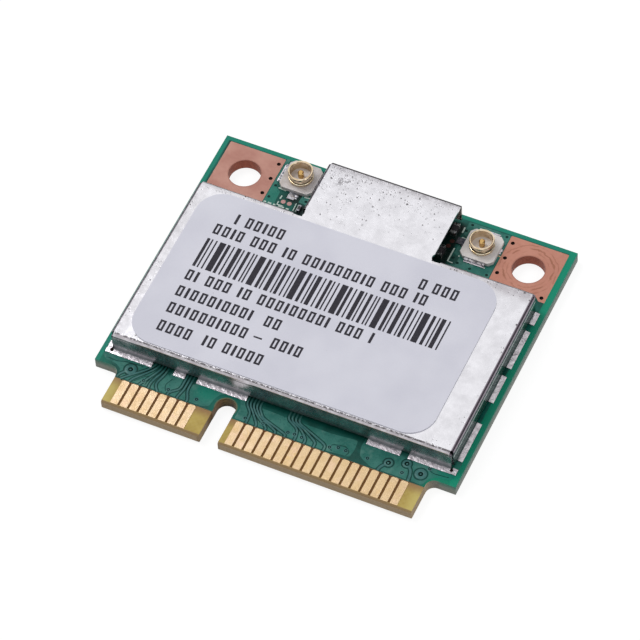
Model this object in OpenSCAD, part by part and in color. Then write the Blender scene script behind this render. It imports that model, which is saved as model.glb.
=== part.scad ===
// Half-length mini PCIe wireless card, in millimetres.
// The board lies flat on z = 0. +X runs along the edge connector, +Y from the contacts to the
// screw holes, and the origin is at the middle of the board's underside.

/* [Board] */
// Width of the board
board_w = 30; // [29.4:0.1:32]
// Length from the contact edge to the back edge
board_l = 26.8; // [26.4:0.1:29]
// Thickness of the finished board
board_t = 1; // [0.8:0.05:1.6]
// Depth of the openings in the solder mask, and thickness of the copper that fills them
mask_t = 0.03; // [0.02:0.005:0.06]

/* [Connector tongue] */
// Width of the tongue
tongue_w = 25.7; // [25.3:0.1:27]
// Length of the tongue in front of the shoulders
tongue_l = 3.3; // [3:0.1:3.6]
// Bare length of the tongue, from its front edge to the solder mask
bare_l = 2.4; // [2.1:0.1:2.7]
// Fillet between the tongue and each shoulder
shoulder_r = 0.7; // [0.3:0.1:0.8]
// Bevel of the tongue's front edges
bevel = 0.12; // [0.05:0.01:0.14]
// Distance of the key slot to the left of the centreline
key_x = 3.85; // [3.6:0.05:4.1]
// Width of the key slot
key_w = 1.6; // [1.4:0.1:1.8]
// Depth of the key slot, to the top of its round end
key_l = 3.95; // [3.5:0.05:4.2]

/* [Edge contacts] */
// Distance from contact to contact
pitch = 0.8; // [0.75:0.01:1]
// Width of a contact
contact_w = 0.6; // [0.4:0.05:0.65]
// Gap between the contacts and the front edge
contact_front_gap = 0.15; // [0.15:0.01:0.3]
// Gap between the contacts and the solder mask
contact_back_gap = 0.03; // [0.02:0.01:0.1]
// Trimmed corner at the back end of a contact
contact_trim = 0.1; // [0.05:0.01:0.18]
// Distance from the key slot's centre to the nearest top contact on its left
short_start = 2.4; // [2.2:0.1:2.8]
// Distance from the key slot's centre to the nearest top contact on its right
long_start = 1.6; // [1.5:0.1:2]
// Smallest distance from a contact's centre to the tongue's side
contact_margin = 0.95; // [0.7:0.05:1]

/* [Screw lands] */
// Distance of the screw holes from the board's sides
hole_side = 2.9; // [2.8:0.05:3.1]
// Distance from the screw holes to the back edge
hole_back = 2.9; // [2.8:0.05:3.1]
// Radius of a screw hole
hole_r = 1.3; // [1.1:0.05:1.4]
// Reach of a land from the hole's axis towards the middle of the board
land_in = 2.45; // [2:0.05:2.6]
// Reach of a land from the hole's axis towards the board's side
land_out = 2.37; // [2:0.01:2.4]
// Reach of a land towards the back edge
land_back = 2.48; // [2:0.02:2.6]
// Reach of a land towards the contacts
land_front = 2.2; // [1.8:0.05:2.3]
// Corner radius of a land
land_r = 0.1; // [0.1:0.05:0.4]
// Width of the lobe at a land's outer front corner
lobe_w = 0.5; // [0.45:0.05:0.8]
// Length of that lobe
lobe_l = 0.3; // [0.1:0.05:0.4]
// Radius of a small plated hole
via_r = 0.16; // [0.1:0.01:0.2]
// Distance of the three small holes of a land from the hole's axis
via_in = 2.1; // [1.8:0.05:2.15]
// Spacing of these three holes
via_pitch = 1.53; // [1.3:0.01:1.6]
// Distance of the middle one behind the hole's axis
via_shift = 0.32; // [0.2:0.02:0.5]
// Distance of the lobe's small hole from the land's outer edge
lobe_via_x = 0.39; // [0.3:0.01:0.5]
// Distance of the lobe's small hole behind the land's front edge
lobe_via_y = 0.08; // [0:0.02:0.2]

/* [Shield can] */
// Gap between the board's side and the can
can_side_gap = 0.8; // [0.6:0.05:1.2]
// Gap between the shoulders and the can's front wall
can_front_gap = 1.32; // [1.2:0.02:1.6]
// Distance from the board's back edge to the can's back wall
can_back_gap = 6.18; // [5.9:0.02:6.6]
// Height of the can above the board
can_h = 2.1; // [1.9:0.05:2.4]
// Thickness of the sheet
sheet_t = 0.18; // [0.1:0.01:0.2]
// Outer radius of the bends
bend_r = 0.25; // [0.22:0.01:0.3]
// Gap between a wall's end and the can's corner
corner_gap = 0.12; // [0.08:0.01:0.2]
// Gap between the left receptacle's solder and the back tab's walled side
tab_left_gap = 0.33; // [0.25:0.01:0.6]
// Gap between the right receptacle's solder and the back tab's open side
tab_right_gap = 0.38; // [0.2:0.02:0.6]
// Gap between the board's back edge and the tab's back wall
tab_back_gap = 0.6; // [0.5:0.05:1]
// Radius of the relief notch at each root of the tab
relief_r = 0.4; // [0.3:0.05:0.5]
// Depth to which these notches cut into the can's back edge
relief_in = 0.27; // [0.15:0.01:0.3]
// Distance of the left notch's centre from the tab's walled side
relief_left_out = 0.1; // [0:0.05:0.2]
// Distance of the right notch's centre from the tab's open side
relief_right_out = 0.3; // [0.1:0.05:0.3]
// Width of the slit in the back bend
slit_w = 0.12; // [0.08:0.01:0.2]
// Distance of this slit from the can's left side
slit_x = 3.9; // [3:0.1:5]

/* [Can feet] */
// Height of the walls' lower edge above the board, between the feet
foot_lift = 0.3; // [0.2:0.05:0.5]
// Length of the feet at both ends of the front wall
end_foot_l = 3.4; // [2.5:0.1:3.6]
// Gap between the front wall's left end foot and its narrow foot
narrow_gap = 1.85; // [1.2:0.05:2]
// Length of the narrow foot
narrow_foot_l = 0.95; // [0.6:0.05:1.2]
// Gap between the narrow foot and the long foot
long_gap = 1; // [0.6:0.05:1.3]
// Length of the long foot
long_foot_l = 4.2; // [3:0.1:4.4]
// Gap between the front wall's right end foot and the foot beside it
inner_gap = 0.65; // [0.4:0.05:1]
// Length of that foot
inner_foot_l = 2.75; // [2:0.05:3]
// Gap between the corner and a side wall's first foot
side_foot_gap = 0.9; // [0.5:0.05:1]
// Length of the first and of the third foot of a side wall
side_foot_l = 3.7; // [3:0.1:3.8]
// Gap between the first and the second foot of a side wall
side_gap = 2.1; // [1.5:0.1:2.2]
// Length of the second foot of a side wall
side_middle_l = 2.6; // [2:0.1:2.7]
// Gap between the later feet of a side wall
side_late_gap = 0.7; // [0.5:0.05:0.8]
// Length of the last foot of a side wall
side_last_l = 1.2; // [0.6:0.1:1.3]
// Length of the two feet on each back wall
back_foot_l = 2; // [1.2:0.1:2.2]
// Gap between these two feet, and between the outer one and the corner
back_gap = 0.9; // [0.5:0.1:1.2]
// Length of the two feet on the tab's side wall
tab_side_foot_l = 1.2; // [0.8:0.1:1.3]
// Gap between these two feet
tab_side_gap = 0.9; // [0.5:0.1:1.8]
// Length of the two feet on the tab's back wall
tab_back_foot_l = 2.6; // [1.5:0.1:3.5]
// Gap between these feet and the ends of the tab's back wall
tab_end_gap = 1.1; // [0.6:0.1:1.5]

/* [Solder] */
// Width of a solder strip in front of a foot
solder_w = 0.39; // [0.2:0.01:0.45]
// Width of the solder strips along the tab's side wall
tab_solder_w = 0.2; // [0.1:0.01:0.22]
// Height of a solder strip where it meets the wall
solder_h = 0.12; // [0.1:0.01:0.28]
// Height of a solder strip at its outer edge
solder_edge = 0.06; // [0.03:0.01:0.09]
// Radius of the small hole in each front corner of the solder
corner_hole_r = 0.12; // [0.08:0.01:0.14]
// Distance of such a hole's centre in front of the can
corner_hole_out = 0.1; // [0:0.01:0.11]
// Length of the front solder along the can's left side
wrap_left = 0.7; // [0.4:0.05:0.8]
// Length of the front solder along the can's right side
wrap_right = 0.15; // [0.1:0.05:0.4]

/* [Label] */
// Thickness of the label
label_t = 0.08; // [0.05:0.01:0.15]
// Corner radius of the label
label_r = 2.2; // [1.5:0.1:3]
// Gap between the label and the can's left side
label_left_gap = 0.9; // [0.4:0.05:1.5]
// Gap between the label and the can's right side
label_right_gap = 2.35; // [1:0.05:3]
// Gap between the label and the can's front
label_front_gap = 0.33; // [0.32:0.01:1]
// Gap between the label and the can's back
label_back_gap = 0.53; // [0.32:0.01:1]

/* [Antenna receptacles] */
// Distance of the left receptacle from its screw hole, towards the middle
left_in = 4.4; // [4.3:0.05:4.4]
// Distance of the left receptacle from the back edge
left_back = 1.8; // [1.6:0.05:2]
// Distance of the right receptacle from its screw hole, towards the middle
right_in = 4.07; // [4.05:0.01:4.2]
// Distance of the right receptacle from the back edge
right_back = 2.47; // [2.2:0.01:2.6]
// Side of the insulator
base_w = 2.8; // [2.5:0.05:2.9]
// Height of the insulator's plate
base_h = 0.34; // [0.3:0.01:0.4]
// Trimmed corner of the insulator
base_trim = 0.35; // [0.1:0.05:0.45]
// Height of the insulator's floor inside the ring
floor_h = 0.46; // [0.4:0.02:0.6]
// Outer radius of the ring's lip
ring_r = 1; // [0.95:0.01:1.05]
// Outer radius of the ring's foot
ring_foot_r = 0.95; // [0.93:0.01:1]
// Outer radius of the groove between them
neck_r = 0.89; // [0.88:0.01:0.92]
// Inner radius of the ring
ring_in_r = 0.83; // [0.75:0.01:0.85]
// Height of the receptacle above the board
ring_h = 1.25; // [1.1:0.05:1.5]
// Height of the lip
lip_h = 0.26; // [0.2:0.01:0.3]
// Height of the groove's lower edge above the board
neck_z = 0.74; // [0.65:0.01:0.76]
// Bevel of the ring's edges
ring_bevel = 0.04; // [0.02:0.01:0.05]
// Thickness of the contact metal
metal_t = 0.1; // [0.08:0.01:0.11]
// Gap between the centre contact's tail and the ring above it
tail_gap = 0.04; // [0.03:0.01:0.06]
// Width of the outer contact's two tabs
ground_w = 1.7; // [1.2:0.1:1.8]
// Reach of these tabs past the insulator
ground_reach = 0.2; // [0.1:0.02:0.25]
// Radius of the centre pin
pin_r = 0.24; // [0.15:0.01:0.3]
// Height of the centre pin above the board
pin_h = 1.05; // [0.9:0.05:1.1]
// Bevel of the pin's tip
pin_bevel = 0.08; // [0.04:0.01:0.12]
// Width of the centre contact's tail
tail_w = 0.6; // [0.4:0.05:0.8]
// Reach of this tail past the insulator
tail_reach = 0.3; // [0.2:0.02:0.34]
// Width of the solder along a receptacle's tabs
joint_w = 0.12; // [0.05:0.01:0.15]
// Length of the solder behind a receptacle's tail
tail_joint_l = 0.4; // [0.1:0.05:0.42]

/* [Radio chip] */
// Distance of the chip's centre from the can's left side
chip_x = 11.2; // [10.8:0.1:12]
// Distance of the chip's centre behind the can's front wall
chip_y = 6.4; // [6:0.1:7.4]
// Side of the moulded body
chip_w = 7; // [6:0.1:7.7]
// Height of the moulded body
chip_h = 0.85; // [0.7:0.05:1.2]
// Distance from lead to lead
lead_pitch = 0.5; // [0.4:0.05:0.65]
// Width of a lead
lead_w = 0.24; // [0.15:0.01:0.3]
// Length of a lead
lead_l = 0.4; // [0.3:0.05:0.6]
// Thickness of the lead frame
lead_t = 0.2; // [0.1:0.01:0.25]
// Smallest distance from a lead to the corner of the body
lead_margin = 0.5; // [0.45:0.05:0.8]
// Side of the heat pad
pad_w = 4.6; // [3:0.1:4.8]

/* [Other chips] */
// Distance of the crystal and the memory chip from the can's left side
clock_x = 4; // [3.9:0.1:4.2]
// Distance of the crystal behind the can's front wall
clock_y = 9.6; // [9.2:0.1:11]
// Width of the crystal
clock_w = 3.2; // [2:0.1:3.2]
// Length of the crystal
clock_l = 2.5; // [1.6:0.1:2.8]
// Height of the crystal's ceramic base
clock_base_h = 0.45; // [0.3:0.05:0.6]
// Height of the crystal's metal lid
clock_lid_h = 0.3; // [0.2:0.05:0.4]
// Margin of the lid on its base
clock_margin = 0.15; // [0.1:0.05:0.3]
// Distance of the memory chip behind the can's front wall
memory_y = 4.8; // [4:0.1:5.6]
// Width of the memory chip
memory_w = 3; // [2:0.1:3.2]
// Length of the memory chip
memory_l = 2; // [1.8:0.1:2.6]
// Height of the memory chip
memory_h = 0.6; // [0.5:0.05:0.9]
// Distance of the regulator from the can's right side
regulator_x = 6.9; // [6.5:0.1:7.2]
// Distance of the regulator behind the can's front wall
regulator_y = 3; // [2.6:0.1:3.4]
// Width of the regulator
regulator_w = 2.9; // [2.4:0.1:3]
// Length of the regulator's body
regulator_l = 1.6; // [1.4:0.1:1.8]
// Height of the regulator
regulator_h = 1.1; // [0.9:0.05:1.3]
// Gap between the regulator's body and the board
regulator_gap = 0.1; // [0.05:0.01:0.15]
// Bevel of the moulded bodies' upper edges
mould_bevel = 0.15; // [0.05:0.01:0.2]
// Reach of the regulator's leads past its body
wing_reach = 0.6; // [0.4:0.05:0.7]
// Thickness of these leads
wing_t = 0.15; // [0.1:0.01:0.2]
// Width of these leads
wing_w = 0.4; // [0.3:0.02:0.5]
// Length of these leads' flat ends
wing_foot_l = 0.33; // [0.2:0.01:0.35]
// Distance of the inductor from the can's right side
inductor_x = 3; // [2.6:0.1:3.4]
// Width of the inductor
inductor_w = 2.5; // [2:0.1:3]
// Length of the inductor
inductor_l = 2; // [1.6:0.1:2.5]
// Height of the inductor
inductor_h = 1; // [0.8:0.05:1.4]
// Length of the inductor's end terminals
inductor_end = 0.5; // [0.3:0.05:0.6]
// Distance of each front-end module from the nearer side of the tab
front_end_x = 2.4; // [2.1:0.1:3.2]
// Distance of the front-end modules in front of the can's back wall
front_end_y = 0.5; // [0.2:0.1:1.2]
// Side of a front-end module
front_end_w = 3; // [2.5:0.1:3.2]
// Height of a front-end module
front_end_h = 0.65; // [0.5:0.05:1]
// Thickness of a module's substrate
substrate_t = 0.25; // [0.15:0.05:0.35]
// Margin of a module's cover on its substrate
cover_margin = 0.1; // [0.05:0.05:0.3]
// Length of a band filter
filter_w = 2; // [1.6:0.1:2.2]
// Width of a band filter
filter_l = 1.2; // [1:0.05:1.25]
// Height of a band filter
filter_h = 0.9; // [0.6:0.05:1]
// Distance of the band filters in front of the tab's back wall
filter_y = 2.3; // [2:0.1:2.6]
// Gap between two band filters
filter_gap = 0.5; // [0.4:0.1:0.8]
// Distance of the first filter from the tab's walled side
filter_x = 1.7; // [1.4:0.1:2.4]

/* [Small parts] */
// Length of a small part
small_l = 1; // [0.9:0.05:1.05]
// Width of a small part
small_w = 0.5; // [0.4:0.05:0.55]
// Height of a small capacitor
cap_h = 0.5; // [0.4:0.05:0.6]
// Height of a small resistor
res_h = 0.35; // [0.3:0.05:0.5]
// Length of the end cap on each end
end_cap = 0.24; // [0.15:0.01:0.3]
// Distance from one small part to the next in a row
small_pitch = 1.2; // [1.15:0.05:1.3]
// Gap between the radio chip and the rows of small parts around it
row_gap = 0.6; // [0.5:0.05:0.8]
// Length of a supply capacitor
supply_l = 2; // [1.6:0.1:2.2]
// Width of a supply capacitor
supply_w = 1.25; // [1:0.05:1.4]
// Height of a supply capacitor
supply_h = 1.2; // [0.8:0.05:1.4]
// Length of a supply capacitor's end cap
supply_end = 0.45; // [0.3:0.05:0.6]
// Gap between the two supply capacitors
supply_gap = 0.8; // [0.4:0.1:1.2]
// Distance of the supply capacitors from the can's right side
supply_x = 5.2; // [5:0.1:5.4]
// Distance of the supply capacitors behind the can's front wall
supply_y = 6.4; // [6:0.1:7]
// Distance of the resistors from the can's sides
resistor_x = 1.3; // [1.1:0.1:1.5]
// Distance of the first resistor behind the can's front wall
resistor_y = 5.2; // [4.6:0.1:6]
// Distance of the front matching part from the tab's open side
match_front_x = 0.3; // [0.3:0.05:0.8]
// Distance of the front matching part from the tab's back wall
match_front_y = 3.5; // [3.4:0.1:3.7]
// Distance of the rear matching part from the tab's open side
match_rear_x = 0.1; // [-0.05:0.05:0.5]
// Distance of the rear matching part from the tab's back wall
match_rear_y = 1.15; // [0.9:0.05:1.3]

/* [Bare pads] */
// Radius of a test pad on the underside
test_r = 0.45; // [0.3:0.05:0.6]
// Distance from test pad to test pad
test_pitch = 3; // [2:0.1:3.2]
// Number of test pads in a row
test_n = 7; // [2:1:8]
// Distance between the two rows of test pads
test_row_gap = 7; // [4:0.5:8]
// Radius of a small round pad on the top side
bare_r = 0.19; // [0.1:0.01:0.22]
// Distance between the two round pads of a pair
bare_pitch = 0.52; // [0.5:0.01:0.7]
// Distance of a pair of round pads from the receptacle that it belongs to
bare_gap = 1.08; // [1:0.02:1.12]
// Distance of the left pair to the left of its receptacle's centreline
bare_left_side = 0.15; // [0:0.05:0.6]
// Distance of the right pair in front of its receptacle's centreline
bare_right_side = 0.47; // [0.3:0.01:0.6]
// Angle at which the right pair lies
bare_turn = 80; // [60:5:90]

/* [Hidden] */

// Overshoot of a cut past the face that it opens
over = 0.5;
// Allowance for rounding when places in a row are counted
count_slack = 0.01;
$fn = 48;

// Edges of the board
side_x = board_w / 2;
front_y = -board_l / 2;
back_y = board_l / 2;
shoulder_y = front_y + tongue_l;
mask_y = front_y + bare_l;

// Screw holes
hole_x = side_x - hole_side;
hole_y = back_y - hole_back;

// Antenna receptacles
left_place = [-hole_x + left_in, back_y - left_back];
right_place = [hole_x - right_in, back_y - right_back];
shell_z = metal_t + tail_gap;

// Outer faces of the shield can, whose back tab fills the space between the receptacles
can_x = side_x - can_side_gap;
can_front = shoulder_y + can_front_gap;
can_back = back_y - can_back_gap;
tab_left = left_place.x + base_w / 2 + ground_reach + joint_w + tab_left_gap;
tab_right = right_place.x - base_w / 2 - tail_reach - tail_joint_l - tab_right_gap;
tab_back = back_y - tab_back_gap;
can_top = board_t + can_h;

// Centres of the relief notches at the tab's roots
relief_y = can_back + relief_r - relief_in;
relief_left = tab_left - relief_left_out;
relief_right = tab_right + relief_right_out;

// Ends of the can's walls: front and back walls stop short of the sides, and side walls between them
wall_end = can_x - corner_gap;
side_start = can_front + sheet_t + corner_gap;
side_end = can_back - sheet_t - corner_gap;
tab_side_end = tab_back - sheet_t - corner_gap;

// Feet under the can's walls: where each starts along its wall, and how long it is
narrow_foot = -wall_end + end_foot_l + narrow_gap;
side_first = can_front + side_foot_gap;
side_second = side_first + side_foot_l + side_gap;
side_last = side_end - side_last_l;
front_feet = [
    [-wall_end, end_foot_l],
    [narrow_foot, narrow_foot_l],
    [narrow_foot + narrow_foot_l + long_gap, long_foot_l],
    [wall_end - end_foot_l - inner_gap - inner_foot_l, inner_foot_l],
    [wall_end - end_foot_l, end_foot_l]
];
side_feet = [
    [side_first, side_foot_l],
    [side_second, side_middle_l],
    [side_last - side_late_gap - side_foot_l, side_foot_l],
    [side_last, side_last_l]
];
back_feet = [
    [wall_end - back_gap - back_foot_l, back_foot_l],
    [wall_end - 2 * (back_gap + back_foot_l), back_foot_l]
];
tab_side_feet = [
    [tab_side_end - tab_side_foot_l, tab_side_foot_l],
    [tab_side_end - 2 * tab_side_foot_l - tab_side_gap, tab_side_foot_l]
];
tab_back_feet = [
    [tab_left + tab_end_gap, tab_back_foot_l],
    [tab_right - tab_end_gap - tab_back_foot_l, tab_back_foot_l]
];

// Radio chip and the parts around it
chip_centre = [-can_x + chip_x, can_front + chip_y];
clock_centre = [-can_x + clock_x, can_front + clock_y];
memory_centre = [-can_x + clock_x, can_front + memory_y];
regulator_centre = [can_x - regulator_x, can_front + regulator_y];
inductor_centre = [can_x - inductor_x, can_front + regulator_y];
filter_centre_y = tab_back - filter_y;
row_reach = chip_w / 2 + row_gap;
row_n = 6;
leads_n = floor((chip_w - 2 * lead_margin) / lead_pitch + count_slack) + 1;

// Small parts, each with its place and the angle that it is turned by
capacitor_places = concat(
    [for (i = [0:row_n - 1]) [chip_centre.x - row_reach, row_place(chip_centre.y, i), 0]],
    [for (i = [0:row_n - 1]) [chip_centre.x + row_reach, row_place(chip_centre.y, i), 0]],
    [for (i = [0:row_n - 1]) [row_place(chip_centre.x, i), chip_centre.y - row_reach, 90]],
    [for (i = [0:row_n - 1]) [row_place(chip_centre.x, i), chip_centre.y + row_reach, 90]]
);
resistor_places = [
    for (i = [0:row_n - 1], side = [-1, 1])
        [side * (can_x - resistor_x), can_front + resistor_y + i * small_pitch, 0]
];
supply_places = [
    for (side = [-1, 1])
        [can_x - supply_x + side * (supply_l + supply_gap) / 2, can_front + supply_y, 0]
];
matching_places = [
    [tab_right - match_front_x, tab_back - match_front_y, 90],
    [tab_right - match_rear_x, tab_back - match_rear_y, 90]
];

// Bare round pads on the top side, in pairs
bare_places = [
    [left_place.x - bare_left_side, left_place.y - base_w / 2 - bare_gap, 0],
    [right_place.x - base_w / 2 - bare_gap, right_place.y - bare_right_side, bare_turn]
];

function row_place(centre, i) = centre + (i - (row_n - 1) / 2) * small_pitch;

// Top contacts start on both sides of the key slot, and bottom contacts half a pitch further on
function short_n(shift) =
    floor((tongue_w / 2 - contact_margin - key_x - short_start + shift) / pitch + count_slack) + 1;
function long_n(shift) =
    floor((tongue_w / 2 - contact_margin + key_x - long_start - shift) / pitch + count_slack) + 1;

// Plain forms

module rounded_rect(low, high, r) {
    translate([low.x + r, low.y]) square([high.x - low.x - 2 * r, high.y - low.y]);
    translate([low.x, low.y + r]) square([high.x - low.x, high.y - low.y - 2 * r]);
    for (x = [low.x + r, high.x - r], y = [low.y + r, high.y - r])
        translate([x, y]) circle(r);
}

module block(w, l, h) {
    translate([-w / 2, -l / 2, 0]) cube([w, l, h]);
}

// Block with its upper edges along X chamfered, as a moulded body
module moulded(w, l, h, chamfer) {
    rotate([90, 0, 90])
        translate([0, 0, -w / 2])
            linear_extrude(w)
                polygon([
                    [-l / 2, 0], [l / 2, 0], [l / 2, h - chamfer], [l / 2 - chamfer, h],
                    [-l / 2 + chamfer, h], [-l / 2, h - chamfer]
                ]);
}

// Board

module key_slot() {
    translate([-key_x - key_w / 2, front_y - over]) square([key_w, key_l - key_w / 2 + over]);
    translate([-key_x, front_y + key_l - key_w / 2]) circle(key_w / 2);
}

// Fillet in the corner between the tongue's right side and the right shoulder
module shoulder_fillet() {
    translate([tongue_w / 2, shoulder_y - shoulder_r])
        difference() {
            square(shoulder_r);
            translate([shoulder_r, 0]) circle(shoulder_r);
        }
}

module board_outline() {
    difference() {
        union() {
            translate([-side_x, shoulder_y]) square([board_w, back_y - shoulder_y]);
            translate([-tongue_w / 2, front_y]) square([tongue_w, tongue_l]);
            shoulder_fillet();
            mirror([1, 0]) shoulder_fillet();
        }
        key_slot();
        for (side = [-1, 1]) translate([side * hole_x, hole_y]) circle(hole_r);
    }
}

// Places of the small plated holes in the right land
function land_vias() = concat(
    [for (i = [-1, 0, 1]) [-via_in, i * via_pitch + via_shift]],
    [[land_out - lobe_via_x, -land_front + lobe_via_y]]
);

// Outline of the right land about its hole, without the holes
module land_outline() {
    rounded_rect([-land_in, -land_front], [land_out, land_back], land_r);
    polygon([
        [land_out - lobe_w - lobe_l, -land_front], [land_out - lobe_w, -land_front - lobe_l],
        [land_out, -land_front - lobe_l], [land_out, -land_front + land_r],
        [land_out - lobe_w - lobe_l, -land_front + land_r]
    ]);
}

// Puts a form made about the right screw hole at the right or, mirrored, at the left one
module at_hole(side) {
    if (side > 0) translate([hole_x, hole_y]) children();
    else mirror([1, 0, 0]) translate([hole_x, hole_y]) children();
}

// Bevel along the tongue's upper front edge
module front_bevel() {
    rotate([90, 0, 90])
        translate([0, 0, -tongue_w / 2 - over])
            linear_extrude(tongue_w + 2 * over)
                polygon([
                    [front_y - over, board_t - mask_t - bevel - over], [front_y, board_t - mask_t - bevel],
                    [front_y + bevel, board_t - mask_t], [front_y + bevel, board_t + over],
                    [front_y - over, board_t + over]
                ]);
}

module tongue_step(z) {
    translate([-side_x - over, front_y - over, z])
        cube([board_w + 2 * over, bare_l + over, over]);
}

module board() {
    color([0.12, 0.44, 0.34])
        difference() {
            linear_extrude(board_t) board_outline();
            tongue_step(board_t - mask_t);
            tongue_step(mask_t - over);
            front_bevel();
            translate([0, 0, board_t]) mirror([0, 0, 1]) front_bevel();
            for (side = [-1, 1]) {
                at_hole(side) {
                    translate([0, 0, board_t - mask_t]) linear_extrude(over) land_outline();
                    translate([0, 0, mask_t - over]) linear_extrude(over) land_outline();
                    for (p = land_vias())
                        translate([p.x, p.y, -over]) cylinder(r = via_r, h = board_t + 2 * over, $fn = 24);
                }
            }
            translate([0, 0, mask_t - over]) at_test_pads() cylinder(r = test_r, h = over);
            translate([0, 0, board_t - mask_t]) at_bare_pads() cylinder(r = bare_r, h = over);
        }
}

// Edge contacts

// One contact, from the front edge back, with its corners trimmed at the back
module contact() {
    l = bare_l - contact_front_gap - contact_back_gap;
    w = contact_w / 2;
    translate([0, front_y + contact_front_gap])
        polygon([
            [-w, 0], [w, 0], [w, l - contact_trim], [w - contact_trim, l],
            [-w + contact_trim, l], [-w, l - contact_trim]
        ]);
}

// A row of contacts that starts at x and steps away in the given direction
module contact_row(x, step, n, z) {
    color([0.93, 0.8, 0.62])
        for (i = [0:n - 1])
            translate([x + i * step, 0, z]) linear_extrude(mask_t) contact();
}

module contacts_top_short() {
    contact_row(-key_x - short_start, -pitch, short_n(0), board_t - mask_t);
}

module contacts_top_long() {
    contact_row(-key_x + long_start, pitch, long_n(0), board_t - mask_t);
}

module contacts_bottom_short() {
    contact_row(-key_x - short_start + pitch / 2, -pitch, short_n(pitch / 2), 0);
}

module contacts_bottom_long() {
    contact_row(-key_x + long_start + pitch / 2, pitch, long_n(pitch / 2), 0);
}

// Bare copper

// Upper and lower pad, made about the right hole's axis
module screw_land() {
    for (z = [0, board_t - mask_t])
        translate([0, 0, z])
            linear_extrude(mask_t)
                difference() {
                    land_outline();
                    circle(hole_r);
                    for (p = land_vias()) translate(p) circle(via_r, $fn = 24);
                }
}

module screw_land_left() {
    color([0.75, 0.5, 0.43]) at_hole(-1) screw_land();
}

module screw_land_right() {
    color([0.75, 0.5, 0.43]) at_hole(1) screw_land();
}

module at_test_pads() {
    for (i = [0:test_n - 1], side = [-1, 1])
        translate([(i - (test_n - 1) / 2) * test_pitch, side * test_row_gap / 2, 0]) children();
}

module test_pads() {
    color([0.75, 0.5, 0.43]) at_test_pads() cylinder(r = test_r, h = mask_t);
}

module at_bare_pads() {
    for (p = bare_places, side = [-1, 1])
        translate([p.x, p.y, 0]) rotate(p.z) translate([side * bare_pitch / 2, 0, 0]) children();
}

module bare_pads() {
    color([0.75, 0.5, 0.43])
        translate([0, 0, board_t - mask_t]) at_bare_pads() cylinder(r = bare_r, h = mask_t);
}

// Shield can

// Cross-section of a wall with its bend; the outer face lies on the line x = 0
module bend_profile() {
    translate([bend_r, can_h - bend_r])
        intersection() {
            difference() {
                circle(bend_r);
                circle(bend_r - sheet_t);
            }
            translate([-bend_r, 0]) square(bend_r);
        }
}

// A wall that faces -Y, from x0 to x1, with its bend from b0 to b1 and feet down to the board
module wall(x0, x1, b0, b1, feet) {
    translate([x0, 0, foot_lift]) cube([x1 - x0, sheet_t, can_h - bend_r - foot_lift]);
    rotate([90, 0, 90]) translate([0, 0, b0]) linear_extrude(b1 - b0) bend_profile();
    for (f = feet) translate([f[0], 0, 0]) cube([f[1], sheet_t, foot_lift]);
}

// The same feet, seen from the other end of their wall
function turned(feet) = [for (f = feet) [-f[0] - f[1], f[1]]];

module facing_front(y) translate([0, y, board_t]) children();
module facing_right(x) translate([x, 0, board_t]) rotate([0, 0, 90]) children();
module facing_left(x) translate([x, 0, board_t]) rotate([0, 0, -90]) children();
module facing_back(y) translate([0, y, board_t]) rotate([0, 0, 180]) children();

module can_lid() {
    translate([0, 0, can_top - sheet_t])
        linear_extrude(sheet_t)
            difference() {
                union() {
                    translate([-can_x + bend_r, can_front + bend_r])
                        square([2 * (can_x - bend_r), can_back - can_front - 2 * bend_r]);
                    translate([tab_left + bend_r, can_front + bend_r])
                        square([tab_right - tab_left - bend_r, tab_back - can_front - 2 * bend_r]);
                }
                for (x = [relief_left, relief_right]) translate([x, relief_y]) circle(relief_r);
            }
}

module shield_can() {
    notch_left = relief_left - relief_r;
    notch_right = relief_right + relief_r;
    color([0.85, 0.85, 0.87])
        difference() {
            union() {
                can_lid();
                facing_front(can_front)
                    wall(-wall_end, wall_end, -can_x + bend_r, can_x - bend_r, front_feet);
                facing_right(can_x) wall(side_start, side_end, side_start, side_end, side_feet);
                facing_left(-can_x) wall(-side_end, -side_start, -side_end, -side_start, turned(side_feet));
                facing_back(can_back) {
                    wall(-wall_end, -notch_right, -can_x + bend_r, -notch_right, turned(back_feet));
                    wall(-notch_left, wall_end, -notch_left, can_x - bend_r, back_feet);
                }
                facing_left(tab_left)
                    wall(-tab_side_end, -relief_y - relief_r, -tab_side_end, -relief_y - relief_r,
                        turned(tab_side_feet));
                facing_back(tab_back)
                    wall(-tab_right, -tab_left - corner_gap, -tab_right, -tab_left - bend_r,
                        turned(tab_back_feet));
            }
            translate([-can_x + slit_x, can_back - bend_r, board_t + can_h - 2 * bend_r])
                cube([slit_w, bend_r + over, 2 * bend_r + over]);
        }
}

// Solder

// A solder strip of width w along a foot of a wall that faces -Y
module strip(x0, l, w = solder_w) {
    rotate([90, 0, 90])
        translate([0, 0, x0])
            linear_extrude(l) polygon([[0, 0], [0, solder_h], [-w, solder_edge], [-w, 0]]);
}

module strips(feet, w = solder_w) {
    for (f = feet) strip(f[0], f[1], w);
}

module shield_solder_front() {
    reach = corner_gap + solder_w;
    hole_at = [can_x - corner_gap / 2, can_front - corner_hole_out];
    color([0.82, 0.83, 0.84])
        difference() {
            union() {
                facing_front(can_front) {
                    strips(front_feet);
                    strip(-wall_end - reach, reach);
                    strip(wall_end, reach);
                }
                facing_left(-can_x) strip(-can_front - wrap_left, wrap_left + solder_w);
                facing_right(can_x) strip(can_front - solder_w, wrap_right + solder_w);
            }
            for (side = [-1, 1])
                translate([side * hole_at.x, hole_at.y, board_t - over])
                    cylinder(r = corner_hole_r, h = 2 * over, $fn = 24);
        }
}

module shield_solder_right() {
    color([0.82, 0.83, 0.84]) facing_right(can_x) strips(side_feet);
}

module shield_solder_left() {
    color([0.82, 0.83, 0.84]) facing_left(-can_x) strips(turned(side_feet));
}

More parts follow.
